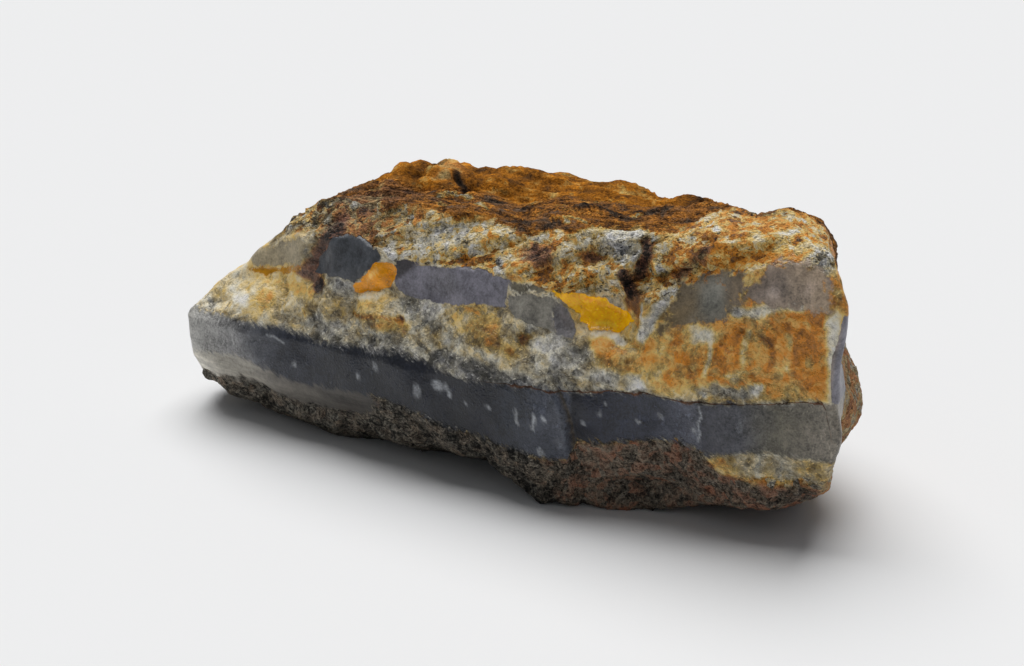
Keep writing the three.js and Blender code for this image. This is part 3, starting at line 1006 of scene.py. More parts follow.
        Seam(((29.8, 25.2), (32.4, 25.7), (34.4, 26.7), (36.8, 26.9)), 0.55, 0.2, 0.85),
        Stain(31, 28, 0.9, 2.2, 0.5, 0.55),
        Stain(40.3, 28.6, 1.0, 2.8, 0.6, 0.62),
        # The crust over the upper row
        Stain(-6.5, 26.2, 3.6, 1.8, 0.25, 0.96),
        Stain(-9, 24.8, 3, 1.1, 0.32, 0.93),
        Stain(-4.4, 25.3, 2.4, 0.8, 0.42, 0.92),
        Seam(((-5.6, 25.6), (-4, 27.2), (-2.2, 27.1), (-0.6, 27.9)), 0.35, 0.1, 0.8, 0.7),
        Seam(((-6, 24.2), (-2.5, 24.8), (0, 25.2), (2, 24.9)), 0.35, 0.68, 0.72),
        Stain(0.4, 27.2, 3.2, 0.9, 0.58, 0.96),
        Stain(1.8, 24.8, 1.2, 0.35, 0.08, 0.9, 0.8),
        Stain(2, 25.5, 0.8, 0.3, 0.2, 0.15, 0.8, 0, 0.8),
        Seam(((3.4, 24.7), (6.3, 24.8), (9.6, 24.7)), 0.45, 0.68, 0.7),
        Stain(6.2, 26.9, 3, 1.0, 0.85, 0.46, 0.85, 0, 0.8),
        Seam(((4.4, 27.7), (6.2, 28.6)), 0.22, 0.08, 0.9, 0.7),
        Stain(12.3, 25.2, 3.8, 1.2, 0.44, 0.86),
        Stain(11.2, 27.2, 1.6, 0.6, 0.85, 0.36, 0.8, 0, 0.7),
        Stain(15.3, 29, 2.8, 1.4, 0.06, 0.62),
        Stain(12, 29.5, 2, 0.8, 0.36, 0.75),
        Seam(((9, 29.1), (12.5, 29.9), (16, 30.3), (19, 30.8)), 0.22, 0.1, 0.95, 0.7),
        # The two holes: dark brown earth, painted darker as the shade in them
        Seam(((18.4, 30), (18.8, 29.1), (18.2, 27.8), (17.8, 26.8)), 0.7, 0.8, 0.2, earth=1),
        Seam(((16.5, 26.9), (16.9, 25.7), (17.4, 24.9)), 0.5, 0.8, 0.2, earth=1),
        Stain(20.5, 28.5, 0.9, 0.6, 0.02, 0.85),
        Stain(21.2, 27.3, 2, 0.7, 0.64, 0.56),
        # The block at the blunt end
        Stain(28.5, 30.6, 3.4, 1.6, 0.58, 1.2),
        Stain(33.5, 32.4, 5, 1.3, 0.5, 1.28),
        Seam(((23, 27.3), (23.9, 28.6), (26, 31.1)), 0.45, 0.7, 0.36, 0.8, 0, 0.8),
        Stain(33.2, 33.4, 1.1, 0.5, 0.08, 1.0),
        Stain(25.8, 32.6, 0.8, 0.4, 0.1, 0.95),
        Stain(34.9, 32.7, 0.9, 0.5, 0.92, 0.3, 0.8),
        Stain(26.6, 31.9, 0.6, 0.4, 0.92, 0.3, 0.8),
        Stain(38.6, 31.4, 1.8, 1.4, 0.18, 0.55),
        # Below the band
        Stain(35, 9, 7, 2.2, 0.34, 0.6),
        Stain(29.6, 9, 1.9, 1.1, 0.6, 0.58, 0.9),
        Stain(35, 10.4, 2.4, 0.35, 0.3, 0.8),
        Stain(39, 9, 2, 1, 0.46, 0.5, 0.8),
    )
    # Drawn in the lower blue band: its pale chips, partly their own paleness and partly painted sheen on
    # their fracture faces
    specks: tuple[DrawnMark, ...] = (
        Stain(-24.1, 9.5, 0.45, 0.48, 0.1, 0.45, 0.8),
        Seam(((-28, 12.3), (-26.9, 12.1), (-25.8, 11.6)), 0.15, 0.1, 0.42, 0.8),
        Stain(-12.3, 12.2, 0.52, 0.72, 0.1, 0.42, 0.9),
        Stain(-14.7, 10.4, 0.38, 0.64, 0.1, 0.36, 0.8),
        Stain(-6.4, 10.7, 0.68, 1.1, 0.2, 0.42, 0.8),
        Stain(-3.9, 11.8, 0.83, 0.8, 0.12, 0.5, 0.9),
        Seam(((-3, 12.1), (-2.4, 10.9)), 0.19, 0.05, 0.55),
        Stain(-0.1, 10.6, 0.3, 0.32, 0.1, 0.45),
        Stain(2.8, 10.8, 0.3, 0.32, 0.1, 0.5),
        Seam(((6.2, 11.2), (6.6, 10)), 0.22, 0.12, 0.5),
        Seam(((8.9, 11.4), (8.6, 10)), 0.22, 0.12, 0.52),
        Stain(10.1, 11.2, 0.52, 0.28, 0.06, 0.62),
        Stain(9.2, 7, 0.38, 0.48, 0.08, 0.5),
        Stain(11.3, 8.4, 0.83, 1.3, 0.1, 0.42, 0.35),
        Stain(15.8, 12.3, 0.22, 0.4, 0.1, 0.42),
        Stain(16.3, 13.4, 0.22, 0.32, 0.08, 0.5),
        Stain(14.1, 10.9, 0.19, 0.4, 0.08, 0.42),
        Stain(22.4, 13.1, 0.26, 0.32, 0.04, 0.62),
        Stain(19.8, 11.8, 0.38, 0.24, 0.3, 0.4),
        Stain(26.4, 12.2, 0.45, 0.56, 0.06, 0.45, 0.8),
        Seam(((27.2, 15.2), (27.4, 14.2), (27, 13.2), (27.1, 12), (26.9, 11)), 0.14, 0.05, 0.5, 0.8),
        Stain(31.4, 13.4, 0.22, 0.8, 0.05, 0.42, 0.6),
    )
    top: tuple[DrawnMark, ...] = (
        Stain(-2, 14, 9, 5, 0.73, 0.56),
        Stain(9, 14.5, 8, 4.6, 0.7, 0.56),
        Stain(-15, 12.4, 3.4, 2, 0.64, 0.48, 1, 0, 0.3),
        Stain(-13.5, 9.7, 1.4, 0.8, 0.4, 0.46, 0.6, 0, 0.6),
        Stain(-19, 3.5, 6, 5, 0.66, 0.54, 0.8, 0, 0.75),
        Stain(-20.5, 1, 1.0, 0.6, 0.1, 0.5, 0.7),
        Stain(-17, 0.2, 0.9, 0.5, 0.1, 0.55, 0.7),
        # The crack across the ridge: dark rust, painted near-black as the shade in it
        Seam(((-12.4, 10.4), (-11, 9.4), (-9.8, 8.7)), 0.4, 0.98, 0.02),
        Seam(((-12.3, 6.2), (-10.4, 7.2), (-8.6, 6.8)), 0.4, 0.15, 0.5, 0.8),
        Seam(((-5, 0.5), (-2.6, -0.8)), 0.3, 0.1, 0.55, 0.7),
        Seam(((-7, 7.2), (-4.6, 7), (-3, 6.2)), 0.25, 0.98, 0.15, 0.8),
        Seam(((1, 2.2), (5.3, 1.1), (9.9, 1.4), (13, 0.6)), 0.25, 0.98, 0.15, 0.8),
        Seam(((9, 9.4), (13.8, 8.9), (17, 9.2)), 0.28, 0.98, 0.15, 0.8),
        Seam(((14, 1.6), (18.5, 1.2)), 0.25, 0.98, 0.15, 0.8),
        Seam(((5.4, -1.4), (8.3, -1.4), (10, -1.9)), 0.25, 0.15, 0.6, 0.7),
        Stain(7.2, -2.5, 0.6, 0.4, 0.08, 0.8),
        Stain(14.8, 0.9, 0.9, 0.35, 0.15, 0.6, 0.8),
        Stain(29, 2, 6, 3, 0.7, 0.45, 0.8),
        Stain(32, 0.5, 2, 1.2, 0.5, 0.6),
    )


@dataclass(frozen=True)
class MineralMap:
    """Works out which mineral each place of the surface shows."""

    form: StoneForm
    drawing: Drawing
    bedding_wander: float = 0.3
    cream_thickness: float = 3.0
    # How what lies on one side fades out behind it
    off_drawing: Rise = Rise(1, 3)
    off_top: Rise = Rise(0.5, 1.5)
    off_front: Rise = Rise(0.8, 2.4, 5)
    round_tip: Rise = Rise(3, 0, 5)
    off_end: Rise = Rise(0.4, 1.6)
    off_back: Rise = Rise(0.4, 3)
    at_tip: Rise = Rise(8, 16)
    # The patch of chalcedony on the blunt end, and the earth that covers the rest of it
    end_patch_foot: float = 17.0
    end_patch_roof: float = 26.5
    end_patch_edge: float = -4.6
    end_earth_edge: float = -4.5
    end_earth_roof: float = 23.0
    end_earth_fall: float = 0.2
    # The rust's foot on the back, and how far it keeps from the lip and from the block at the blunt end
    rust_foot: float = 21.0
    rust_front: float = 2.5
    clean_lip: Rise = Rise(18, 22, 2.2)
    clean_block: Rise = Rise(18, 26, 13)
    ochre_front: float = 8.5
    # The pale foot below the band, and the seams along its top and in its break
    pale_foot: Rise = Rise(26, 30, 3.6)
    seam_start: float = 4.0
    seam_gaps: float = 2.2
    seam_fading: float = 6.0
    seam_off_end: float = 9.0
    break_seam_offset: float = 0.3
    # How far soft noise moves each outline, and over what depth two patches blend
    patch_stray: float = 0.32
    stain_stray: float = 1.6
    seam_stray: float = 0.3
    tint_stray: float = 2.0
    tint_blend: float = 0.12
    # The band's colour stays in place at its two breaks
    first_break: float = 13.0
    second_break: float = 27.0
    # The ground of each mineral, before anything is drawn on it
    quartz_iron: Curve = (
        (-44, 0.44), (-30, 0.49), (-22, 0.43), (-8, 0.34), (0, 0.4), (8, 0.32), (13, 0.34), (18, 0.52),
        (30, 0.65), (38, 0.68),
    )
    quartz_light: Curve = (
        (-44, 0.98), (-31, 0.98), (-25, 0.84), (-18, 0.6), (10, 0.61), (20, 0.81), (38, 0.94),
    )
    crust_iron: Curve = (
        (-44, 0.42), (-27, 0.46), (-20, 0.62), (-14, 0.5), (-7, 0.32), (-1, 0.44), (5, 0.58), (11, 0.48),
        (17, 0.4), (22, 0.58), (30, 0.6), (41, 0.56),
    )
    crust_light: Curve = (
        (-44, 0.58), (-27, 0.45), (-20, 0.63), (-12, 0.86), (-5, 1.0), (5, 1.0), (12, 0.92), (20, 0.92),
        (28, 1.17), (41, 1.2),
    )
    crust_earth: Curve = ((-30, 0.1), (-20, 0.45), (-13, 0.25), (-6, 0.1), (41, 0.1))
    matrix_iron: Curve = ((-44, 0.2), (4, 0.15), (13, 0.5), (41, 0.6))
    matrix_light: Curve = (
        (-44, 0.54), (-20, 0.49), (2, 0.36), (10, 0.48), (14, 0.68), (30, 0.64), (34, 0.56), (41, 0.56),
    )
    rust_ground: tuple[float, float, float] = (0.81, 0.62, 0.1)
    ochre_ground: tuple[float, float, float] = (0.74, 0.54, 0)
    blue_ground: tuple[float, float, float] = (0.1, 0.3, 0)
    # The matrix is lighter and less brown on the blunt end, and the quartz darker beside the band
    end_light: float = 0.33
    end_clean: float = 0.4
    over_band: Rise = Rise(0, 2.2)
    band_iron: float = 0.14
    band_shade: Rise = Rise(-36, -26, 0.22)
    stray_iron: float = 0.3

    def borders(self, points: Array) -> dict[Field, Array]:
        """Give the mm inside each mineral's border.

        The bands lie between the layers' lines, in a height that wanders with soft noise. The
        patches end where another side is outermost. Rust covers the top and the upper back, and
        earthy matrix covers all below the lower band and the outside of the blunt end.

        Args:
            points: places on the surface, in mm.

        Returns:
            For each mineral the signed distance to its border, positive inside.
        """
        x, y, z = np.moveaxis(points, -1, 0)
        wander = Noise.layered(points, 5, 11)
        patchy = Noise.layered(points, 7, 23, octaves=3)
        height = z + self.bedding_wander * wander
        floor, roof = along(self.drawing.band_foot, x), along(self.drawing.band_top, x)
        upper_roof = self.form.layer_heights(x)[4]
        earth = self.earth(points, wander, patchy)
        rust = self.rust(points, wander, patchy)
        under_band = np.minimum(floor + 1 - height, height - floor + self.cream_thickness)
        gaps = np.maximum(Noise.layered(points, 3.2, 61, 3) + 0.1, 0)
        off_seam = np.maximum(self.seam_start - x, 0) + self.seam_gaps * gaps
        off_band = np.maximum(np.maximum(height - roof, floor - height), 0)
        past_break = x - self.form.break_line(z) - self.break_seam_offset
        end_shift = self.seam_off_end * self.end_share(points)
        return {
            Field.BLUE_BAND: np.minimum(np.minimum(height - floor, roof - height), -earth),
            Field.BLUE_LENS: self.lens(points, height, patchy),
            Field.AMBER: self.patches(points, self.drawing.ambers),
            Field.ROOF_SEAM: (height - roof) * (1 + self.seam_fading * off_seam) + end_shift,
            Field.BREAK_SEAM: past_break * (1 + self.seam_fading * off_band),
            Field.CRUST: height - upper_roof - np.where(x < -24, 0.5, 0) + 0.3 * wander,
            Field.RUST: rust,
            Field.OCHRE: np.minimum(rust, y - self.ochre_front + 3 * patchy),
            Field.MATRIX: np.maximum(floor + 1 - self.pale_foot.at(x) - height, earth),
            Field.CREAM_BAND: np.minimum(self.only(self.at_tip.at(-x), under_band), -earth),
        }

    def earth(self, points: Array, wander: Array, patchy: Array) -> Array:
        """Give the mm inside the earth that covers the blunt end and patches of the back.

        Args:
            points: places on the surface, in mm.
            wander: fine noise at each place.
            patchy: coarse noise at each place.

        Returns:
            The signed distance to the earth's border.
        """
        _, y, z = np.moveaxis(points, -1, 0)
        edge = y - self.end_earth_edge + 1.5 * wander + 2 * patchy
        roof = self.end_earth_roof - z - self.end_earth_fall * y + 4 * patchy
        on_end = self.only(self.end_share(points), np.minimum(edge, roof))
        back_earth = 2.4 * Noise.layered(points, 6, 31, octaves=3) - 0.6
        return np.maximum(on_end, self.only(self.back_share(points), back_earth))

    def rust(self, points: Array, wander: Array, patchy: Array) -> Array:
        """Give the mm inside the rust that covers the top and the upper back.

        Args:
            points: places on the surface, in mm.
            wander: fine noise at each place.
            patchy: coarse noise at each place.

        Returns:
            The signed distance to the rust's border.
        """
        x, y, z = np.moveaxis(points, -1, 0)
        inward = self.inward(points)
        lip = np.clip(inward[Side.FRONT] - inward[Side.TOP], -3, 3)
        lip = lip + 1.1 * wander - self.clean_lip.at(x)
        block = self.clean_block.height - self.clean_block.at(x)
        edge = np.minimum(lip, y - self.rust_front + 1.5 * patchy + block)
        foot = np.clip((z - self.rust_foot) / 2, -2, 2) + 2.6 * patchy
        return np.maximum(edge, self.only(self.back_share(points), foot))

    def lens(self, points: Array, height: Array, patchy: Array) -> Array:
        """Give the mm inside the upper row: its lenses, its patch on the blunt end and its back.

        Args:
            points: places on the surface, in mm.
            height: their wandering height.
            patchy: coarse noise at each place.

        Returns:
            The signed distance to the border of the nearest one.
        """
        x, y, _ = np.moveaxis(points, -1, 0)
        _, _, _, quartz_roof, upper_roof, _ = self.form.layer_heights(x)
        end_patch = np.minimum(height - self.end_patch_foot, self.end_patch_roof - height)
        end_patch = np.minimum(end_patch, self.end_patch_edge - y + 1.2 * patchy)
        back_row = np.minimum(height - quartz_roof, upper_roof - height) - 0.6 + 1.5 * patchy
        lens = np.maximum(
            self.patches(points, self.drawing.lenses), self.only(self.end_share(points), end_patch))
        return np.maximum(lens, self.only(self.back_share(points), back_row))

    def inward(self, points: Array) -> dict[Side, Array]:
        """Give how far each place lies behind each of the six sides: 0 on the outermost one."""
        sides = np.stack(self.form.sides(*np.moveaxis(points, -1, 0)))
        return dict(zip(Side, sides.max(0) - sides))

    def end_share(self, points: Array) -> Array:
        """Give 1 where the blunt end is the outermost side, and less a little behind it."""
        return 1 - self.off_end.at(self.inward(points)[Side.BLUNT])

    def back_share(self, points: Array) -> Array:
        """Give 1 where the back or the underside is the outermost side, and less behind it."""
        inward = self.inward(points)
        return 1 - self.off_back.at(np.minimum(inward[Side.BACK], inward[Side.UNDER]))

    @staticmethod
    def only(where: Array, value: Array, outside: float = -3.0) -> Array:
        """Keep a signed distance where a share is 1, and end it well below 0 where the share is 0."""
        return value * where + outside * (1 - where)

    def patches(self, points: Array, patches: tuple[Patch, ...]) -> Array:
        """Give the distance inside the nearest of some patches of the front, with slightly ragged outlines.

        Args:
            points: places on the surface, in mm.
            patches: the patches.

        Returns:
            The signed distance in mm, far below 0 where the front isn't the outermost side.
        """
        x, _, z = np.moveaxis(points, -1, 0)
        inward = self.inward(points)
        off_front = self.off_front.at(inward[Side.FRONT])
        round_tip = self.round_tip.at(np.minimum(inward[Side.BACK], inward[Side.TOP]))
        off_front = np.where(x < 0, np.minimum(off_front, round_tip), off_front)
        stray_x, stray_z = (self.patch_stray * Noise.layered(points, 1.2, seed, 3) for seed in (13, 17))
        return np.max([patch.inside(x + stray_x, z + stray_z) for patch in patches], axis=0) - off_front

    def paint(self, points: Array, borders: dict[Field, Array]) -> dict[Field, Array]:
        """Give the iron, the light and the earth of each place.

        The quartz, the crust, the top and the matrix have values of their own, which blend at their
        borders. What is drawn on the front and on the top is laid over them, one after the other.

        Args:
            points: places on the surface, in mm.
            borders: the mm inside each mineral's border.

        Returns:
            Iron, light and earth, each mostly from 0 to 1.
        """
        x, y, z = np.moveaxis(points, -1, 0)
        inward = self.inward(points)
        on_end = self.end_share(points)
        near_band = 1 - self.over_band.at(z - along(self.drawing.band_top, x))
        values = [
            along(self.quartz_iron, x) - self.band_iron * near_band,
            along(self.quartz_light, x) - self.band_shade.at(x) * near_band,
            np.zeros(x.shape),
        ]
        crust = [along(curve, x) for curve in (self.crust_iron, self.crust_light, self.crust_earth)]
        matrix_light = along(self.matrix_light, x) + self.end_light * on_end
        grounds = (
            (Field.CRUST, crust),
            (Field.RUST, self.rust_ground),
            (Field.OCHRE, self.ochre_ground),
            (Field.MATRIX, (along(self.matrix_iron, x), matrix_light, 1 - self.end_clean * on_end)),
            (Field.BLUE_BAND, self.blue_ground),
        )
        for field, ground in grounds:
            values = self.laid_over(values, ground, smooth_step(borders[field], -0.5, 0.5))
        front_share = 1 - self.off_drawing.at(inward[Side.FRONT])
        top_share = 1 - self.off_top.at(inward[Side.TOP])
        layers = ((self.drawing.front, z, front_share), (self.drawing.top, y, top_share))
        for marks, up, side_share in layers:
            for mark, share in zip(marks, self.mark_shares(marks, points, up, self.stain_stray)):
                values = self.laid_over(values, (mark.iron, mark.light, mark.earth), share * side_share)
        iron, light, earth = values
        elsewhere = 1 - np.maximum(front_share, top_share)
        iron = iron + self.stray_iron * elsewhere * Noise.layered(points, 4, 47, octaves=3)
        return {Field.IRON: iron, Field.LIGHT: light, Field.EARTH: earth}

    @staticmethod
    def laid_over(below: Sequence[Array], above: Sequence[Array | float], share: Array) -> list[Array]:
        """Lay values over those below them, by a share."""
        return [low * (1 - share) + high * share for low, high in zip(below, above)]

    def mark_shares(self, marks: tuple[DrawnMark, ...], points: Array, up: Array,
                    stain_stray: float) -> list[Array]:
        """Give the share of each mark, with edges that soft noise moves: a stain's more than a seam's.

        Args:
            marks: the marks of one side.
            points: places on the surface, in mm.
            up: their second direction on that side.
            stain_stray: how far the noise moves a stain, in mm.

        Returns:
            A share from 0 to 1 for each mark.
        """
        stray = [Noise.layered(points, 2.2, seed, 4) for seed in (41, 43)]
        moved = {
            kind: (points[..., 0] + reach * stray[0], up + 0.7 * reach * stray[1])
            for kind, reach in ((Stain, stain_stray), (Seam, self.seam_stray), (Area, self.seam_stray))
        }
        return [mark.share(*moved[type(mark)]) for mark in marks]

    def hollows(self, points: Array) -> Array:
        """Add up the depths of what is drawn on the front, in mm."""
        x, _, z = np.moveaxis(points, -1, 0)
        return sum(mark.depth * mark.share(x, z) for mark in self.drawing.front if mark.depth)

    def tints(self, points: Array) -> dict[str, Array]:
        """Give each place its colour in each band and in the nearest patch, in linear light.

        Args:
            points: places on the surface, in mm.

        Returns:
            For each kind of tint its red, green, blue and alpha at each place.
        """
        x, _, z = np.moveaxis(points, -1, 0)
        off_first = smooth_step(np.abs(x - self.first_break), 1, 2.5)
        off_second = smooth_step(np.abs(x - self.second_break), 1, 2)
        stray_x = x + self.tint_stray * Noise.layered(points, 4, 53, 3) * (off_first + off_second - 1)
        blue = self.tint_along(self.drawing.band_tints, stray_x)
        cream = self.tint_along(self.drawing.cream_tints, stray_x)
        # The chips' tint is partly their own paleness and partly painted sheen
        chip = np.array(linear_colour(self.drawing.chip_sheen_tint))
        specks = self.drawing.specks
        on_front = 1 - self.off_drawing.at(self.inward(points)[Side.FRONT])
        for mark, share in zip(specks, self.mark_shares(specks, points, z, self.seam_stray)):
            share = (smooth_step(share, 0.2, 0.8) * on_front)[..., None]
            blue = blue * (1 - share) + chip * mark.light * share
        on_end = self.end_share(points)[..., None]
        lens = self.tint_of(self.drawing.lenses, x, z) * (1 - on_end)
        lens += np.array(linear_colour(self.drawing.end_tint)) * on_end
        amber = self.tint_of(self.drawing.ambers, x, z)
        return {"blue_tint": blue, "cream_tint": cream, "lens_tint": lens, "amber_tint": amber}

    def tint_of(self, patches: tuple[Patch, ...], x: Array, z: Array) -> Array:
        """Give the nearest patch's colour, blended where two patches meet.

        Each patch weighs e to the power of how far it is inside, divided by the blend's width.

        Args:
            patches: the patches.
            x: places along the stone.
            z: their heights.

        Returns:
            Red, green, blue and alpha for each place.
        """
        depths = np.stack([patch.inside(x, z) for patch in patches])
        weights = np.exp((depths - depths.max(0)) / self.tint_blend)
        colours = np.array([linear_colour(patch.colour) for patch in patches])
        return np.einsum("p...,pc->...c", weights / weights.sum(0), colours)

    @staticmethod
    def tint_along(tints: tuple[tuple[float, str], ...], x: Array) -> Array:
        """Read a row of colours along the stone, blended in linear light.

        Args:
            tints: the colours with their places along the stone, in mm.
            x: where to read them.

        Returns:
            Red, green, blue and alpha for each place.
        """
        places = [place for place, _ in tints]
        colours = np.array([linear_colour(colour) for _, colour in tints])
        return np.stack([np.interp(x, places, channel) for channel in colours.T], -1)


@dataclass(frozen=True)
class Relief:
    """Heights in mm that each mineral's broken surface has over the stone's plain form."""

    lens_stand: float = 0.12
    border: float = 0.25
    # Knobs and a notch on the back ridge, in x and y, which fade out below it
    knobs: tuple[Mark, ...] = (
        Mark(-19.6, 12, 1.7, 7, 0.7),
        Mark(-17.2, 13, 1.3, 6, -0.7),
        Mark(-13.8, 12.5, 2.6, 7, 0.9),
    )
    knob_share: Rise = Rise(20, 24)

    def quartz(self, points: Array) -> Array:
        """Give broken quartz: 3.4 mm facets, smaller ones on them, on a rough swell."""
        facets = 0.2 * Noise.facets(points, 3.4, 111, 1.5) + 0.12 * Noise.facets(points, 1.5, 113, 1.3)
        return facets + 0.08 * Noise.facets(points, 0.8, 101, 1.2) + 0.3 * Noise.layered(points, 5, 121, 4)

    def crust(self, points: Array) -> Array:
        """Give the crust: chips and lumps, with sheets that climb to the right.

        Args:
            points: places on the plain form, in mm.

        Returns:
            The height over the plain form, in mm.
        """
        x, _, z = np.moveaxis(points, -1, 0)
        sheet = ledge((z - 0.38 * x) / 1.3 + 0.5 * Noise.swirl(points, 3, 131)) - 0.5
        chips = 0.17 * Noise.facets(points, 0.8, 141, 1.3) + 0.22 * Noise.facets(points, 1.9, 151, 1.3)
        return chips + 0.25 * sheet + 0.22 * Noise.layered(points, 1.8, 161)

    def rust(self, points: Array) -> Array:
        """Give the foliated top: thin sheets along the stone, and rough noise drawn out along it.

        Args:
            points: places on the plain form, in mm.

        Returns:
            The height over the plain form, in mm.
        """
        x, y, _ = np.moveaxis(points, -1, 0)
        drawn_out = points * np.array((1 / 4, 1, 1))
        sheet = ledge((y + 0.1 * x) / 1.4 + 0.8 * Noise.swirl(drawn_out, 2.2, 171)) - 0.5
        return 0.42 * sheet + 0.4 * Noise.layered(drawn_out, 1.5, 181) + 0.1 * Noise.facets(points, 0.9, 191)

    def matrix(self, points: Array) -> Array:
        """Give the earthy matrix: fine grit on rough lumps."""
        lumps = 0.42 * Noise.layered(points, 3.6, 211) + 0.16 * Noise.facets(points, 1.8, 203, 1.3)
        return lumps + 0.1 * Noise.facets(points, 0.8, 201, 1.3)

    def blue(self, points: Array) -> Array:
        """Give the waxy blue band: a low swell with faint upright hackles."""
        upright = points * np.array((1, 1, 0.4))
        return 0.14 * Noise.layered(points, 5, 221, 3) + 0.04 * Noise.layered(upright, 1.3, 231, 3)

    def lens(self, points: Array) -> Array:
        """Give the flat, proud face of a lens."""
        return self.lens_stand + 0.03 * Noise.layered(points, 4, 241, 2)

    def amber(self, points: Array) -> Array:
        """Give the glassy face of the amber chalcedony: shallow shell-like facets and ripples."""
        return 0.12 * Noise.layered(points, 2.4, 251, 2) + 0.12 * Noise.facets(points, 2.2, 253, 1.5)

    def height(self, points: Array, borders: dict[Field, Array]) -> Array:
        """Lay each mineral's relief over the one before it, across a narrow border.

        Args:
            points: places on the plain form, in mm.
            borders: the mm inside each mineral's border.

        Returns:
            The height over the plain form, in mm.
        """
        height = self.quartz(points)
        overlays = (
            (Field.CRUST, self.crust), (Field.RUST, self.rust), (Field.MATRIX, self.matrix),
            (Field.CREAM_BAND, self.blue), (Field.BLUE_BAND, self.blue), (Field.BLUE_LENS, self.lens),
            (Field.AMBER, self.amber),
        )
        for field, relief in overlays:
            share = smooth_step(borders[field], -self.border, self.border)
            height = height * (1 - share) + relief(points) * share
        x, y, z = np.moveaxis(points, -1, 0)
        return height + sum_of_marks(self.knobs, x, y) * self.knob_share.at(z)


class StoneMesh:
    """The stone's fine mesh: its plain form, raised by the relief, with its minerals as attributes."""

    name = "banded_chalcedony_stone"

    def __init__(self, form: StoneForm) -> None:
        """Lay the grid over the form and the minerals over the grid.

        Args:
            form: the stone's form.
        """
        self.grid = RingGrid(form)
        self.minerals = MineralMap(form, Drawing())
        self.relief = Relief()

    @staticmethod
    def closed(values: Array) -> Array:
        """List a grid's values point by point, with each end's ring as one pole."""
        rows = values[1:-1].reshape(-1, *values.shape[2:])
        return np.concatenate((values[:1, 0], rows, values[-1:, 0]))

    def faces(self) -> list[list[int]]:
        """Join the rings by quads, with a fan of triangles at each pole.

        Returns:
            The faces as lists of point numbers.
        """
        count, middle_rings = self.grid.ring_points, self.grid.rings - 2
        ring = 1 + np.arange(middle_rings)[:, None] * count + np.arange(count)
        turned = np.roll(ring, -1, axis=1)
        quads = np.stack((ring[:-1], turned[:-1], turned[1:], ring[1:]), -1).reshape(-1, 4)
        last_point = 1 + middle_rings * count
        first_fan = np.stack((np.zeros(count, int), turned[0], ring[0]), -1)
        last_fan = np.stack((np.full(count, last_point), ring[-1], turned[-1]), -1)
        return quads.tolist() + first_fan.tolist() + last_fan.tolist()

    def build(self) -> bpy.types.Object:
        """Work out the surface and its attributes, and make the object.

        Returns:
            The object, at the origin and in the frame's metres.
        """
        plain = self.grid.points()
        borders = self.minerals.borders(plain)
        height = self.relief.height(plain, borders) * self.grid.evenness(plain)
        height -= self.minerals.hollows(plain)
        raised = plain + self.grid.normals(plain) * height[..., None]
        raised[..., 2] = np.maximum(raised[..., 2], 0)
        centred = (raised - np.array((*STONE_MIDDLE, 0))) * MM
        mesh = bpy.data.meshes.new(self.name)
        mesh.from_pydata(self.closed(centred), [], self.faces())
        # The relief's height also goes to the material, which paints shade in hollows and light on raised
        # grains with it
        numbers = {**borders, **self.minerals.paint(plain, borders), Field.RELIEF: height}
        for field, values in numbers.items():
            attribute = mesh.attributes.new(field.value, "FLOAT", "POINT")
            attribute.data.foreach_set("value", self.closed(values).astype(np.float32))
        for name, colours in self.minerals.tints(plain).items():
            attribute = mesh.attributes.new(name, "FLOAT_COLOR", "POINT")
            attribute.data.foreach_set("color", self.closed(colours).ravel().astype(np.float32))
        mesh.shade_smooth()
        mesh.validate()
        stone = bpy.data.objects.new(self.name, mesh)
        bpy.context.scene.collection.objects.link(stone)
        return stone


@dataclass(frozen=True)
class Pattern:
    """A pattern of the stone's grain, drawn at its real size along x, y and z, in mm.

    It leans by its slope in degrees, up to the right where that is positive. Its places are moved
    by up to its stray in mm, so that its shapes aren't regular. With limits it is 0 below the
    first, 1 above the second, so that only its peaks show. It is noise, or the flat cells of
    crystals, or the thin lines between such cells.
    """

    size: tuple[float, float, float]
    detail: float = 3.0
    slope: float = 0.0
    stray: float = 0.0
    cells: bool = False
    edges: bool = False
    limits: tuple[float, float] | None = None


@dataclass(frozen=True)
class Finish:
    """What one mineral looks like.

    Its tone is the place's own light plus each pattern's share times how far the pattern is from
    0.5, plus the relief's share times the relief's height, which paints shade into the hollows and
    light onto the raised grains. Its iron varies in the same way. A finish with a tint has that
    colour of the mesh instead, darker or lighter by its tone, which starts from the tint's light. A
    seam lies on both sides of its field's zero, as far as its half width in mm, and has an iron, a
    light and an earth of its own.
    """

    name: str
    field: Field | None
    tone: dict[str, float]
    iron: dict[str, float]
    roughness: float
    bump: float
    softness: float = 0.12
    raggedness: float = 0.2
    relief: float = 0.0
    tint: str | None = None
    tint_light: float = 0.5
    ragged_by: str = "mottle"
    shine: float = 0.4
    half_width: float | None = None
    own: tuple[float, float, float] | None = None


# Colours by iron in the shade and in the light: clean quartz, cream, ochre, orange, rust and dark rust
IRON_PLACES = (0.0, 0.25, 0.5, 0.7, 0.85, 1.0)
SHADE_COLOURS = ("#35373a", "#3f3b30", "#48381c", "#46290a", "#2d1b0c", "#140d07")
LIGHT_COLOURS = ("#f6f4f3", "#f3ebd3", "#f1ce7a", "#e8942a", "#ac7232", "#786450")
# The same for earth: grey, brown and reddish
EARTH_PLACES = (0.0, 0.5, 1.0)
EARTH_SHADES = ("#151412", "#17120e", "#1a100c")
EARTH_LIGHTS = ("#a59f92", "#a0917f", "#ae7459")

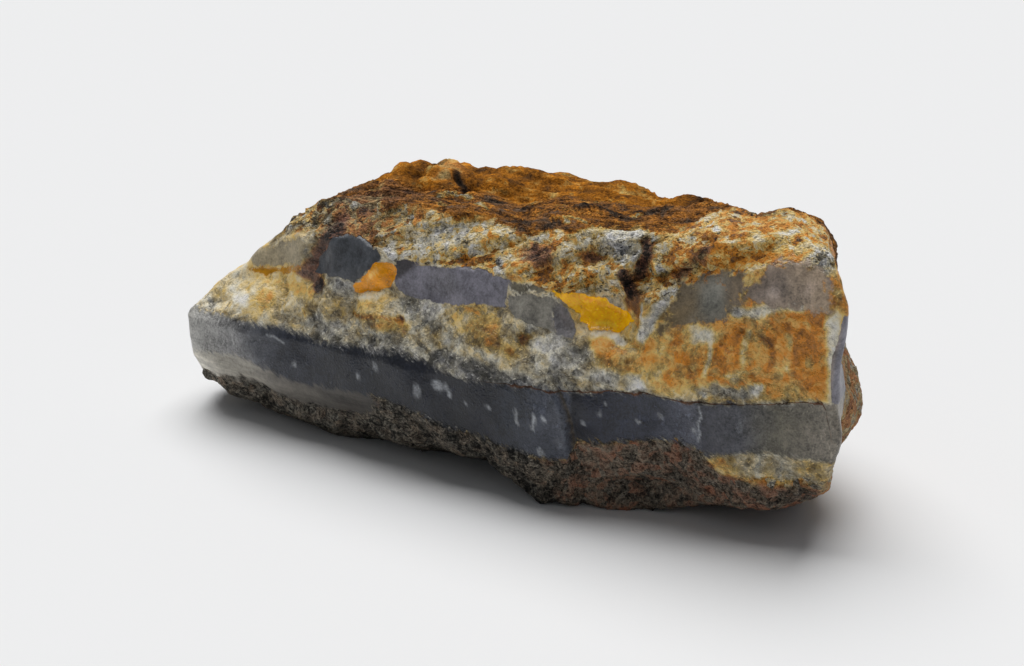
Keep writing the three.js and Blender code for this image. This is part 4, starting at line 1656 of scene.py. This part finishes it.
PATTERNS: dict[str, Pattern] = {
    # Single crystals of the quartz, 3 mm and 0.9 mm across, and the crumbs between them
    "facet": Pattern((3.2, 3.2, 2.6), stray=1.2, cells=True),
    "grain": Pattern((0.9, 0.9, 0.9), stray=0.6, cells=True),
    "crumb": Pattern((0.38, 0.38, 0.38), cells=True),
    "speckle": Pattern((0.45, 0.45, 0.45)),
    "grit": Pattern((0.22, 0.22, 0.22), 1),
    "mottle": Pattern((1.5, 1.5, 1.5), 5, stray=0.8),
    "spots": Pattern((1.1, 1.1, 1.1), 4, stray=0.8),
    "blotch": Pattern((3.2, 3.2, 3.2), 3, stray=1.5),
    # Quartz that grew in strings, which fall to the right
    "strings": Pattern((3.4, 1.2, 0.8), 4, -30, 0.8),
    # Pale veins between the crystals
    "vein": Pattern((2.6, 2.6, 2.0), stray=3.2, edges=True, limits=(0.14, 0.0)),
    # Crystals that grew across the band stand upright, and sheets of rust lie along the stone
    "comb": Pattern((0.5, 0.5, 1.9)),
    "feather": Pattern((1.8, 0.8, 0.4), 3, -35, 0.3),
    "sheets": Pattern((5.5, 0.55, 0.45), 5, stray=0.4),
    "bands": Pattern((7, 1.6, 1.4), 4, stray=0.8),
    "stripes": Pattern((14, 6, 1.1)),
    # Sheets of the crust climb to the right, and so do its angular chips
    "climbing": Pattern((2.6, 1.2, 0.6), 5, 21, 0.5),
    "chips": Pattern((1.5, 0.7, 0.55), 0, 21, 0.5, True),
    # Glints painted as highlights on single crystals, dark pores painted as the shade in small pits, and
    # the pale flecks in the blue band, partly their own paleness and partly painted sheen
    "glint": Pattern((0.55, 0.4, 0.3), 2, 21, 0.3, limits=(0.6, 0.68)),
    "pore_shade": Pattern((0.8, 0.5, 0.4), 3, 21, 0.3, limits=(0.58, 0.68)),
    "fleck": Pattern((0.6, 0.6, 1.0), 2, -8, 0.3, limits=(0.6, 0.74)),
}

# In the finishes below, glint paints highlights, the pore pattern paints the shade in small pits, and relief
# paints shade in hollows and light on raised grains
FINISHES: tuple[Finish, ...] = (
    # Milky vein quartz, broken: waxy facets, soft blotches and a few bright crumbs
    Finish("milky quartz", None,
           dict(facet=0.4, strings=0.8, mottle=0.7, speckle=0.5, grain=0.35, crumb=0.25, grit=0.5,
                glint=0.4, pore_shade=-0.1, vein=0.07),
           dict(blotch=0.6, spots=0.4, grain=0.1, vein=-0.05),
           roughness=0.42, bump=0.2, relief=0.5),
    # Granular crust: grey, cream, ochre and brown chips in sheets that climb to the right
    Finish("granular crust", Field.CRUST,
           dict(climbing=0.7, chips=0.6, spots=0.5, grain=0.4, crumb=0.4, speckle=0.8, grit=0.9,
                glint=0.75, pore_shade=-0.55),
           dict(mottle=1.1, chips=-0.4, grain=0.35, speckle=0.4),
           roughness=0.6, bump=0.3, softness=0.3, raggedness=0.9, relief=0.3, shine=0.2),
    # Foliated limonite: dull rust in thin sheets, with dark gaps between them
    Finish("foliated rust", Field.RUST,
           dict(sheets=1.9, grain=0.3, crumb=0.35, speckle=0.9, grit=1.0, glint=0.6, pore_shade=-0.3),
           dict(bands=-1.1, mottle=0.6, grain=0.15),
           roughness=0.75, bump=0.3, softness=0.3, raggedness=1.2, relief=0.4, shine=0.1),
    # Ochre: softer and brighter rust on the back ridge
    Finish("soft ochre", Field.OCHRE,
           dict(blotch=0.5, mottle=0.7, sheets=0.5, grain=0.15, speckle=0.7, grit=0.7),
           dict(bands=0.6, blotch=-0.4, spots=0.5),
           roughness=0.85, bump=0.18, softness=0.8, raggedness=1.6, relief=0.3, shine=0.05),
    # Earthy matrix: brown with grey, rusty and dark places
    Finish("earthy matrix", Field.MATRIX,
           dict(blotch=0.8, spots=0.9, grain=0.4, crumb=0.5, speckle=1.0, grit=1.1, glint=0.5),
           dict(mottle=1.0, blotch=0.8, grain=0.7), ragged_by="spots",
           roughness=0.75, bump=0.3, softness=0.4, raggedness=1.0, relief=0.4, shine=0.12),
    # Cream and grey stripes under the blue band
    Finish("cream band", Field.CREAM_BAND,
           dict(stripes=1.5, mottle=0.8, speckle=0.5, grit=0.3), {}, tint="cream_tint",
           roughness=0.5, bump=0.06, softness=0.5, raggedness=1.4),
    # Massive blue-grey chalcedony: waxy, smooth, cloudy where it is thick
    Finish("blue chalcedony", Field.BLUE_BAND,
           dict(blotch=1.3, comb=0.5, mottle=0.9, speckle=0.9, grit=1.1, fleck=1.0), {},
           tint="blue_tint", ragged_by="feather",
           roughness=0.34, bump=0.06, softness=0.4, raggedness=1.2),
    # A thin rusty seam along the band's top, and a brown one in its break
    Finish("rusty seam", Field.ROOF_SEAM, dict(mottle=1.6, speckle=0.9), dict(spots=1.0),
           own=(0.9, 0.4, 0.75), half_width=0.17,
           roughness=0.7, bump=0.06, softness=0.16, raggedness=0.7, shine=0.1),
    Finish("broken edge", Field.BREAK_SEAM, dict(mottle=1.0, speckle=0.8), {},
           own=(0.4, 0.42, 0.9), half_width=0.1,
           roughness=0.7, bump=0.06, softness=0.2, raggedness=0.3, shine=0.1),
    # The flat faces of the upper row
    Finish("lens chalcedony", Field.BLUE_LENS,
           dict(blotch=1.3, mottle=0.9, comb=0.4, speckle=0.7, grit=0.7), {},
           tint="lens_tint", ragged_by="spots",
           roughness=0.42, bump=0.06, softness=0.08, raggedness=0.4),
    # Amber chalcedony: glossy, saturated, with painted glints; its tone lifts it past its tint as
    # painted light, for the glow through the stone where the yellow hollow lies in shade
    Finish("amber chalcedony", Field.AMBER,
           dict(strings=0.9, mottle=0.9, speckle=0.5, grit=0.4, glint=0.4), {},
           tint="amber_tint", tint_light=0.68, ragged_by="spots",
           roughness=0.2, bump=0.08, softness=0.08, raggedness=0.4),
)


def add_node(tree: bpy.types.NodeTree, kind: str, settings: dict[str, object],
             inputs: dict[str | int, object]) -> bpy.types.Node:
    """Add a node with its settings, its input values and its links.

    Args:
        tree: the node tree.
        kind: the node's type.
        settings: properties of the node itself.
        inputs: for each input's name or number, a value or the output that it is linked to.

    Returns:
        The new node.
    """
    node = tree.nodes.new(kind)
    for name, value in settings.items():
        setattr(node, name, value)
    for key, value in inputs.items():
        if isinstance(value, Socket):
            tree.links.new(value, node.inputs[key])
        else:
            node.inputs[key].default_value = value
    return node


class StoneMaterial:
    """One material for the whole stone, which lays the finishes over each other."""

    bump_depth = 0.001
    stray_size = 1.6
    noise_roughness = 0.6
    light_power = 1.8
    tint_shade = 0.3
    quartz_ior = 1.54

    def __init__(self) -> None:
        """Start an empty material, and add the shared patterns and the mesh's numbers."""
        self.material = bpy.data.materials.new("banded chalcedony")
        self.material.use_nodes = True
        self.tree = self.material.node_tree
        self.tree.nodes.clear()
        self.place = self.add("TexCoord", {}, "Object")
        stray_scale = 1 / (self.stray_size * MM)
        self.stray = self.add("TexNoise", {"Vector": self.place, "Scale": stray_scale}, "Color")
        self.patterns = {name: self.pattern(pattern) for name, pattern in PATTERNS.items()}
        self.fields = {field: self.add("Attribute", {}, "Fac", attribute_name=field.value) for field in Field}

    def add(self, kind: str, inputs: dict[str | int, object], output: str | int = 0,
            **settings: object) -> Socket:
        """Add a node to the material and give one of its outputs."""
        return add_node(self.tree, "ShaderNode" + kind, settings, inputs).outputs[output]

    def pattern(self, pattern: Pattern) -> Socket:
        """Draw a pattern in the stone's own coordinates, at its real size.

        Args:
            pattern: the pattern.

        Returns:
            An output that lies round 0.5, or mostly at 0 where only peaks show.
        """
        reach = (pattern.stray * MM,) * 3
        moved = self.add("VectorMath", {0: self.stray, 1: reach, 2: self.place}, operation="MULTIPLY_ADD")
        turned = self.add("Mapping", {"Vector": moved, "Rotation": (0, math.radians(pattern.slope), 0)})
        scale = tuple(1 / (size * MM) for size in pattern.size)
        inputs = {"Vector": self.add("Mapping", {"Vector": turned, "Scale": scale}), "Scale": 1.0}
        if pattern.cells:
            return self.add("TexVoronoi", inputs, "Color")
        if pattern.edges:
            drawn = self.add("TexVoronoi", inputs, "Distance", feature="DISTANCE_TO_EDGE")
        else:
            inputs.update({"Detail": pattern.detail, "Roughness": self.noise_roughness})
            drawn = self.add("TexNoise", inputs, "Fac")
        return drawn if pattern.limits is None else self.stepped(drawn, *pattern.limits)

    def stepped(self, value: Socket, start: float, end: float) -> Socket:
        """Raise a value smoothly from 0 to 1 between start and end."""
        inputs = {"Value": value, "From Min": start, "From Max": end}
        return self.add("MapRange", inputs, interpolation_type="SMOOTHSTEP")

    def varied(self, start: Socket | float, shares: dict[str, float]) -> Socket:
        """Add patterns to a value, each times its share.

        A pattern is counted from 0.5, or from 0 where only its peaks show.

        Args:
            start: a number or an output.
            shares: each pattern's share, by the pattern's name.

        Returns:
            The output with the patterns added.
        """
        middle = 0.5 * sum(share for name, share in shares.items() if PATTERNS[name].limits is None)
        total = self.add("Math", {0: start, 1: middle}, operation="SUBTRACT")
        for name, share in shares.items():
            inputs = {0: self.patterns[name], 1: share, 2: total}
            total = self.add("Math", inputs, operation="MULTIPLY_ADD")
        return total

    def share_of(self, finish: Finish) -> Socket:
        """Give a finish's share: its field with a ragged border, from none to full.

        Args:
            finish: the finish.

        Returns:
            An output from 0 outside the finish to 1 inside it.
        """
        inputs = {0: self.patterns[finish.ragged_by], 1: 2 * finish.raggedness, 2: self.fields[finish.field]}
        ragged = self.add("Math", inputs, operation="MULTIPLY_ADD")
        inside = self.add("Math", {0: ragged, 1: finish.raggedness}, operation="SUBTRACT")
        if finish.half_width is not None:
            away = self.add("Math", {0: inside}, operation="ABSOLUTE")
            inside = self.add("Math", {0: finish.half_width, 1: away}, operation="SUBTRACT")
        return self.stepped(inside, -finish.softness, finish.softness)

    def ramp(self, value: Socket, places: tuple[float, ...], colours: tuple[str, ...]) -> Socket:
        """Turn a value into a colour between named ones.

        Args:
            value: the value.
            places: where each colour stands, in rising order.
            colours: the colours.

        Returns:
            The colour output.
        """
        ramped = self.add("ValToRGB", {"Fac": value})
        elements = ramped.node.color_ramp.elements
        while len(elements) < len(places):
            elements.new(1.0)
        for element, place, colour in zip(elements, places, colours):
            element.position = place
            element.color = linear_colour(colour)
        return ramped

    def mix(self, share: object, below: object, above: object, kind: str = "RGBA") -> Socket:
        """Mix two colours or two numbers.

        Args:
            share: how much of the upper one shows.
            below: the lower one.
            above: the upper one.
            kind: "RGBA" for colours, "FLOAT" for numbers.

        Returns:
            The mixed output.
        """
        # The node's sockets for colours come after those for numbers
        first, second, result = (6, 7, 2) if kind == "RGBA" else (2, 3, 0)
        return self.add("Mix", {0: share, first: below, second: above}, result, data_type=kind)

    def tone_of(self, finish: Finish) -> Socket:
        """Give a finish's tone: its light, the relief's share, which paints shade in hollows and light on
        raised grains, and its patterns.

        Args:
            finish: the finish.

        Returns:
            An output from 0 to 1.
        """
        light = self.fields[Field.LIGHT]
        if finish.tint:
            light = finish.tint_light
        elif finish.own:
            light = finish.own[1]
        # Raised grains get a lighter tone and hollows a darker one: painted light and shade from the relief
        inputs = {0: self.fields[Field.RELIEF], 1: finish.relief, 2: light}
        lift = self.add("Math", inputs, operation="MULTIPLY_ADD")
        return self.add("Clamp", {"Value": self.varied(lift, finish.tone)})

    def colour_of(self, finish: Finish, tone: Socket) -> Socket:
        """Give a finish's colour: by its iron, earth and tone, or a tint of the mesh by its tone.

        A tint is as it is at a tone of 0.5. The other colours go from shade to light by the tone to
        the light's power.

        Args:
            finish: the finish.
            tone: its tone, from 0 to 1.

        Returns:
            The colour output.
        """
        if finish.tint:
            tint = self.add("Attribute", {}, "Color", attribute_name=finish.tint)
            inputs = {0: tone, 1: 2 - 2 * self.tint_shade, 2: self.tint_shade}
            strength = self.add("Math", inputs, operation="MULTIPLY_ADD")
            return self.add("VectorMath", {0: tint, "Scale": strength}, operation="SCALE")
        iron, earth = self.fields[Field.IRON], self.fields[Field.EARTH]
        if finish.own:
            iron, _, earth = finish.own
        iron = self.varied(iron, finish.iron)
        lit = self.add("Math", {0: tone, 1: self.light_power}, operation="POWER", use_clamp=True)
        shade, light = (
            self.mix(earth, self.ramp(iron, IRON_PLACES, clean), self.ramp(iron, EARTH_PLACES, earthy))
            for clean, earthy in ((SHADE_COLOURS, EARTH_SHADES), (LIGHT_COLOURS, EARTH_LIGHTS))
        )
        return self.mix(lit, shade, light)

    def build(self) -> bpy.types.Material:
        """Lay the finishes over each other and shade the result as waxy stone.

        Returns:
            The material.
        """
        colour = roughness = shine = height = None
        for finish in FINISHES:
            own_colour = self.colour_of(finish, self.tone_of(finish))
            inputs = {0: self.varied(0.5, finish.tone), 1: finish.bump}
            own_height = self.add("Math", inputs, operation="MULTIPLY")
            if colour is None:
                colour, height = own_colour, own_height
                roughness, shine = finish.roughness, finish.shine
                continue
            share = self.share_of(finish)
            colour = self.mix(share, colour, own_colour)
            roughness = self.mix(share, roughness, finish.roughness, "FLOAT")
            shine = self.mix(share, shine, finish.shine, "FLOAT")
            height = self.mix(share, height, own_height, "FLOAT")
        bump = self.add("Bump", {"Strength": 1.0, "Distance": self.bump_depth, "Height": height})
        shader = self.add("BsdfPrincipled", {"Base Color": colour, "Roughness": roughness, "Normal": bump,
                                             "IOR": self.quartz_ior, "Specular IOR Level": shine})
        add_node(self.tree, "ShaderNodeOutputMaterial", {}, {"Surface": shader})
        return self.material


@dataclass(frozen=True)
class Studio:
    """A pale floor, soft light from above and behind, and the camera, in metres, mm of film and degrees."""

    floor_half_size: float = 3.0
    floor_colour: str = "#ededed"
    floor_roughness: float = 0.9
    azimuth: float = 26.0
    elevation: float = 21.0
    distance: float = 0.317
    target: tuple[float, float, float] = (-0.0004, -0.00455, 0.015)
    lens: float = 100.0
    film_width: float = 36.0
    nearest: float = 0.01
    key_strength: float = 2.9
    key_spread: float = 55.0
    key_tilt: tuple[float, float] = (-18.0, -13.0)
    fill_colour: str = "#ebeef3"
    fill_strength: float = 0.18

    def build(self) -> None:
        """Add the floor, the lights and the camera."""
        self.add_floor()
        self.add_lights()
        self.add_camera()
        bpy.context.scene.view_settings.view_transform = "Standard"

    def add_floor(self) -> None:
        """Add a matt pale sheet."""
        half = self.floor_half_size
        mesh = bpy.data.meshes.new("floor")
        corners = [(-half, -half, 0), (half, -half, 0), (half, half, 0), (-half, half, 0)]
        mesh.from_pydata(corners, [], [(0, 1, 2, 3)])
        floor = bpy.data.objects.new("floor", mesh)
        bpy.context.scene.collection.objects.link(floor)
        material = bpy.data.materials.new("matt white paper")
        material.use_nodes = True
        shader = material.node_tree.nodes["Principled BSDF"]
        shader.inputs["Base Color"].default_value = linear_colour(self.floor_colour)
        shader.inputs["Roughness"].default_value = self.floor_roughness
        mesh.materials.append(material)

    def add_lights(self) -> None:
        """Add a wide soft key from above and behind, and an even fill from all round."""
        light = bpy.data.lights.new("key", "SUN")
        light.energy = self.key_strength
        light.angle = math.radians(self.key_spread)
        key = bpy.data.objects.new("key", light)
        key.rotation_euler = tuple(math.radians(angle) for angle in self.key_tilt) + (0.0,)
        bpy.context.scene.collection.objects.link(key)
        world = bpy.data.worlds.new("studio")
        world.use_nodes = True
        background = world.node_tree.nodes["Background"]
        background.inputs["Color"].default_value = linear_colour(self.fill_colour)
        background.inputs["Strength"].default_value = self.fill_strength
        bpy.context.scene.world = world

    def add_camera(self) -> None:
        """Add the camera, which looks at the target from its azimuth and elevation."""
        turn, rise = math.radians(self.azimuth), math.radians(self.elevation)
        level = math.cos(rise)
        back = Vector((math.sin(turn) * level, -math.cos(turn) * level, math.sin(rise)))
        data = bpy.data.cameras.new("camera")
        data.lens = self.lens
        data.sensor_width = self.film_width
        data.clip_start = self.nearest
        camera = bpy.data.objects.new("camera", data)
        camera.location = Vector(self.target) + back * self.distance
        camera.rotation_euler = back.to_track_quat("Z", "Y").to_euler()
        bpy.context.scene.collection.objects.link(camera)
        bpy.context.scene.camera = camera


def main() -> None:
    """Build the stone, dress it, and set the studio round it."""
    logging.basicConfig(level=logging.INFO, format="%(name)s: %(message)s")
    stone = StoneMesh(StoneForm()).build()
    stone.data.materials.append(StoneMaterial().build())
    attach(stone, "root")
    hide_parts("chalcedony_stone")
    LOG.info("%s: %d points, %d faces", stone.name, len(stone.data.vertices), len(stone.data.polygons))
    Studio().build()
    LOG.info("studio: floor, key, fill and camera")


if __name__ == "__main__":
    main()
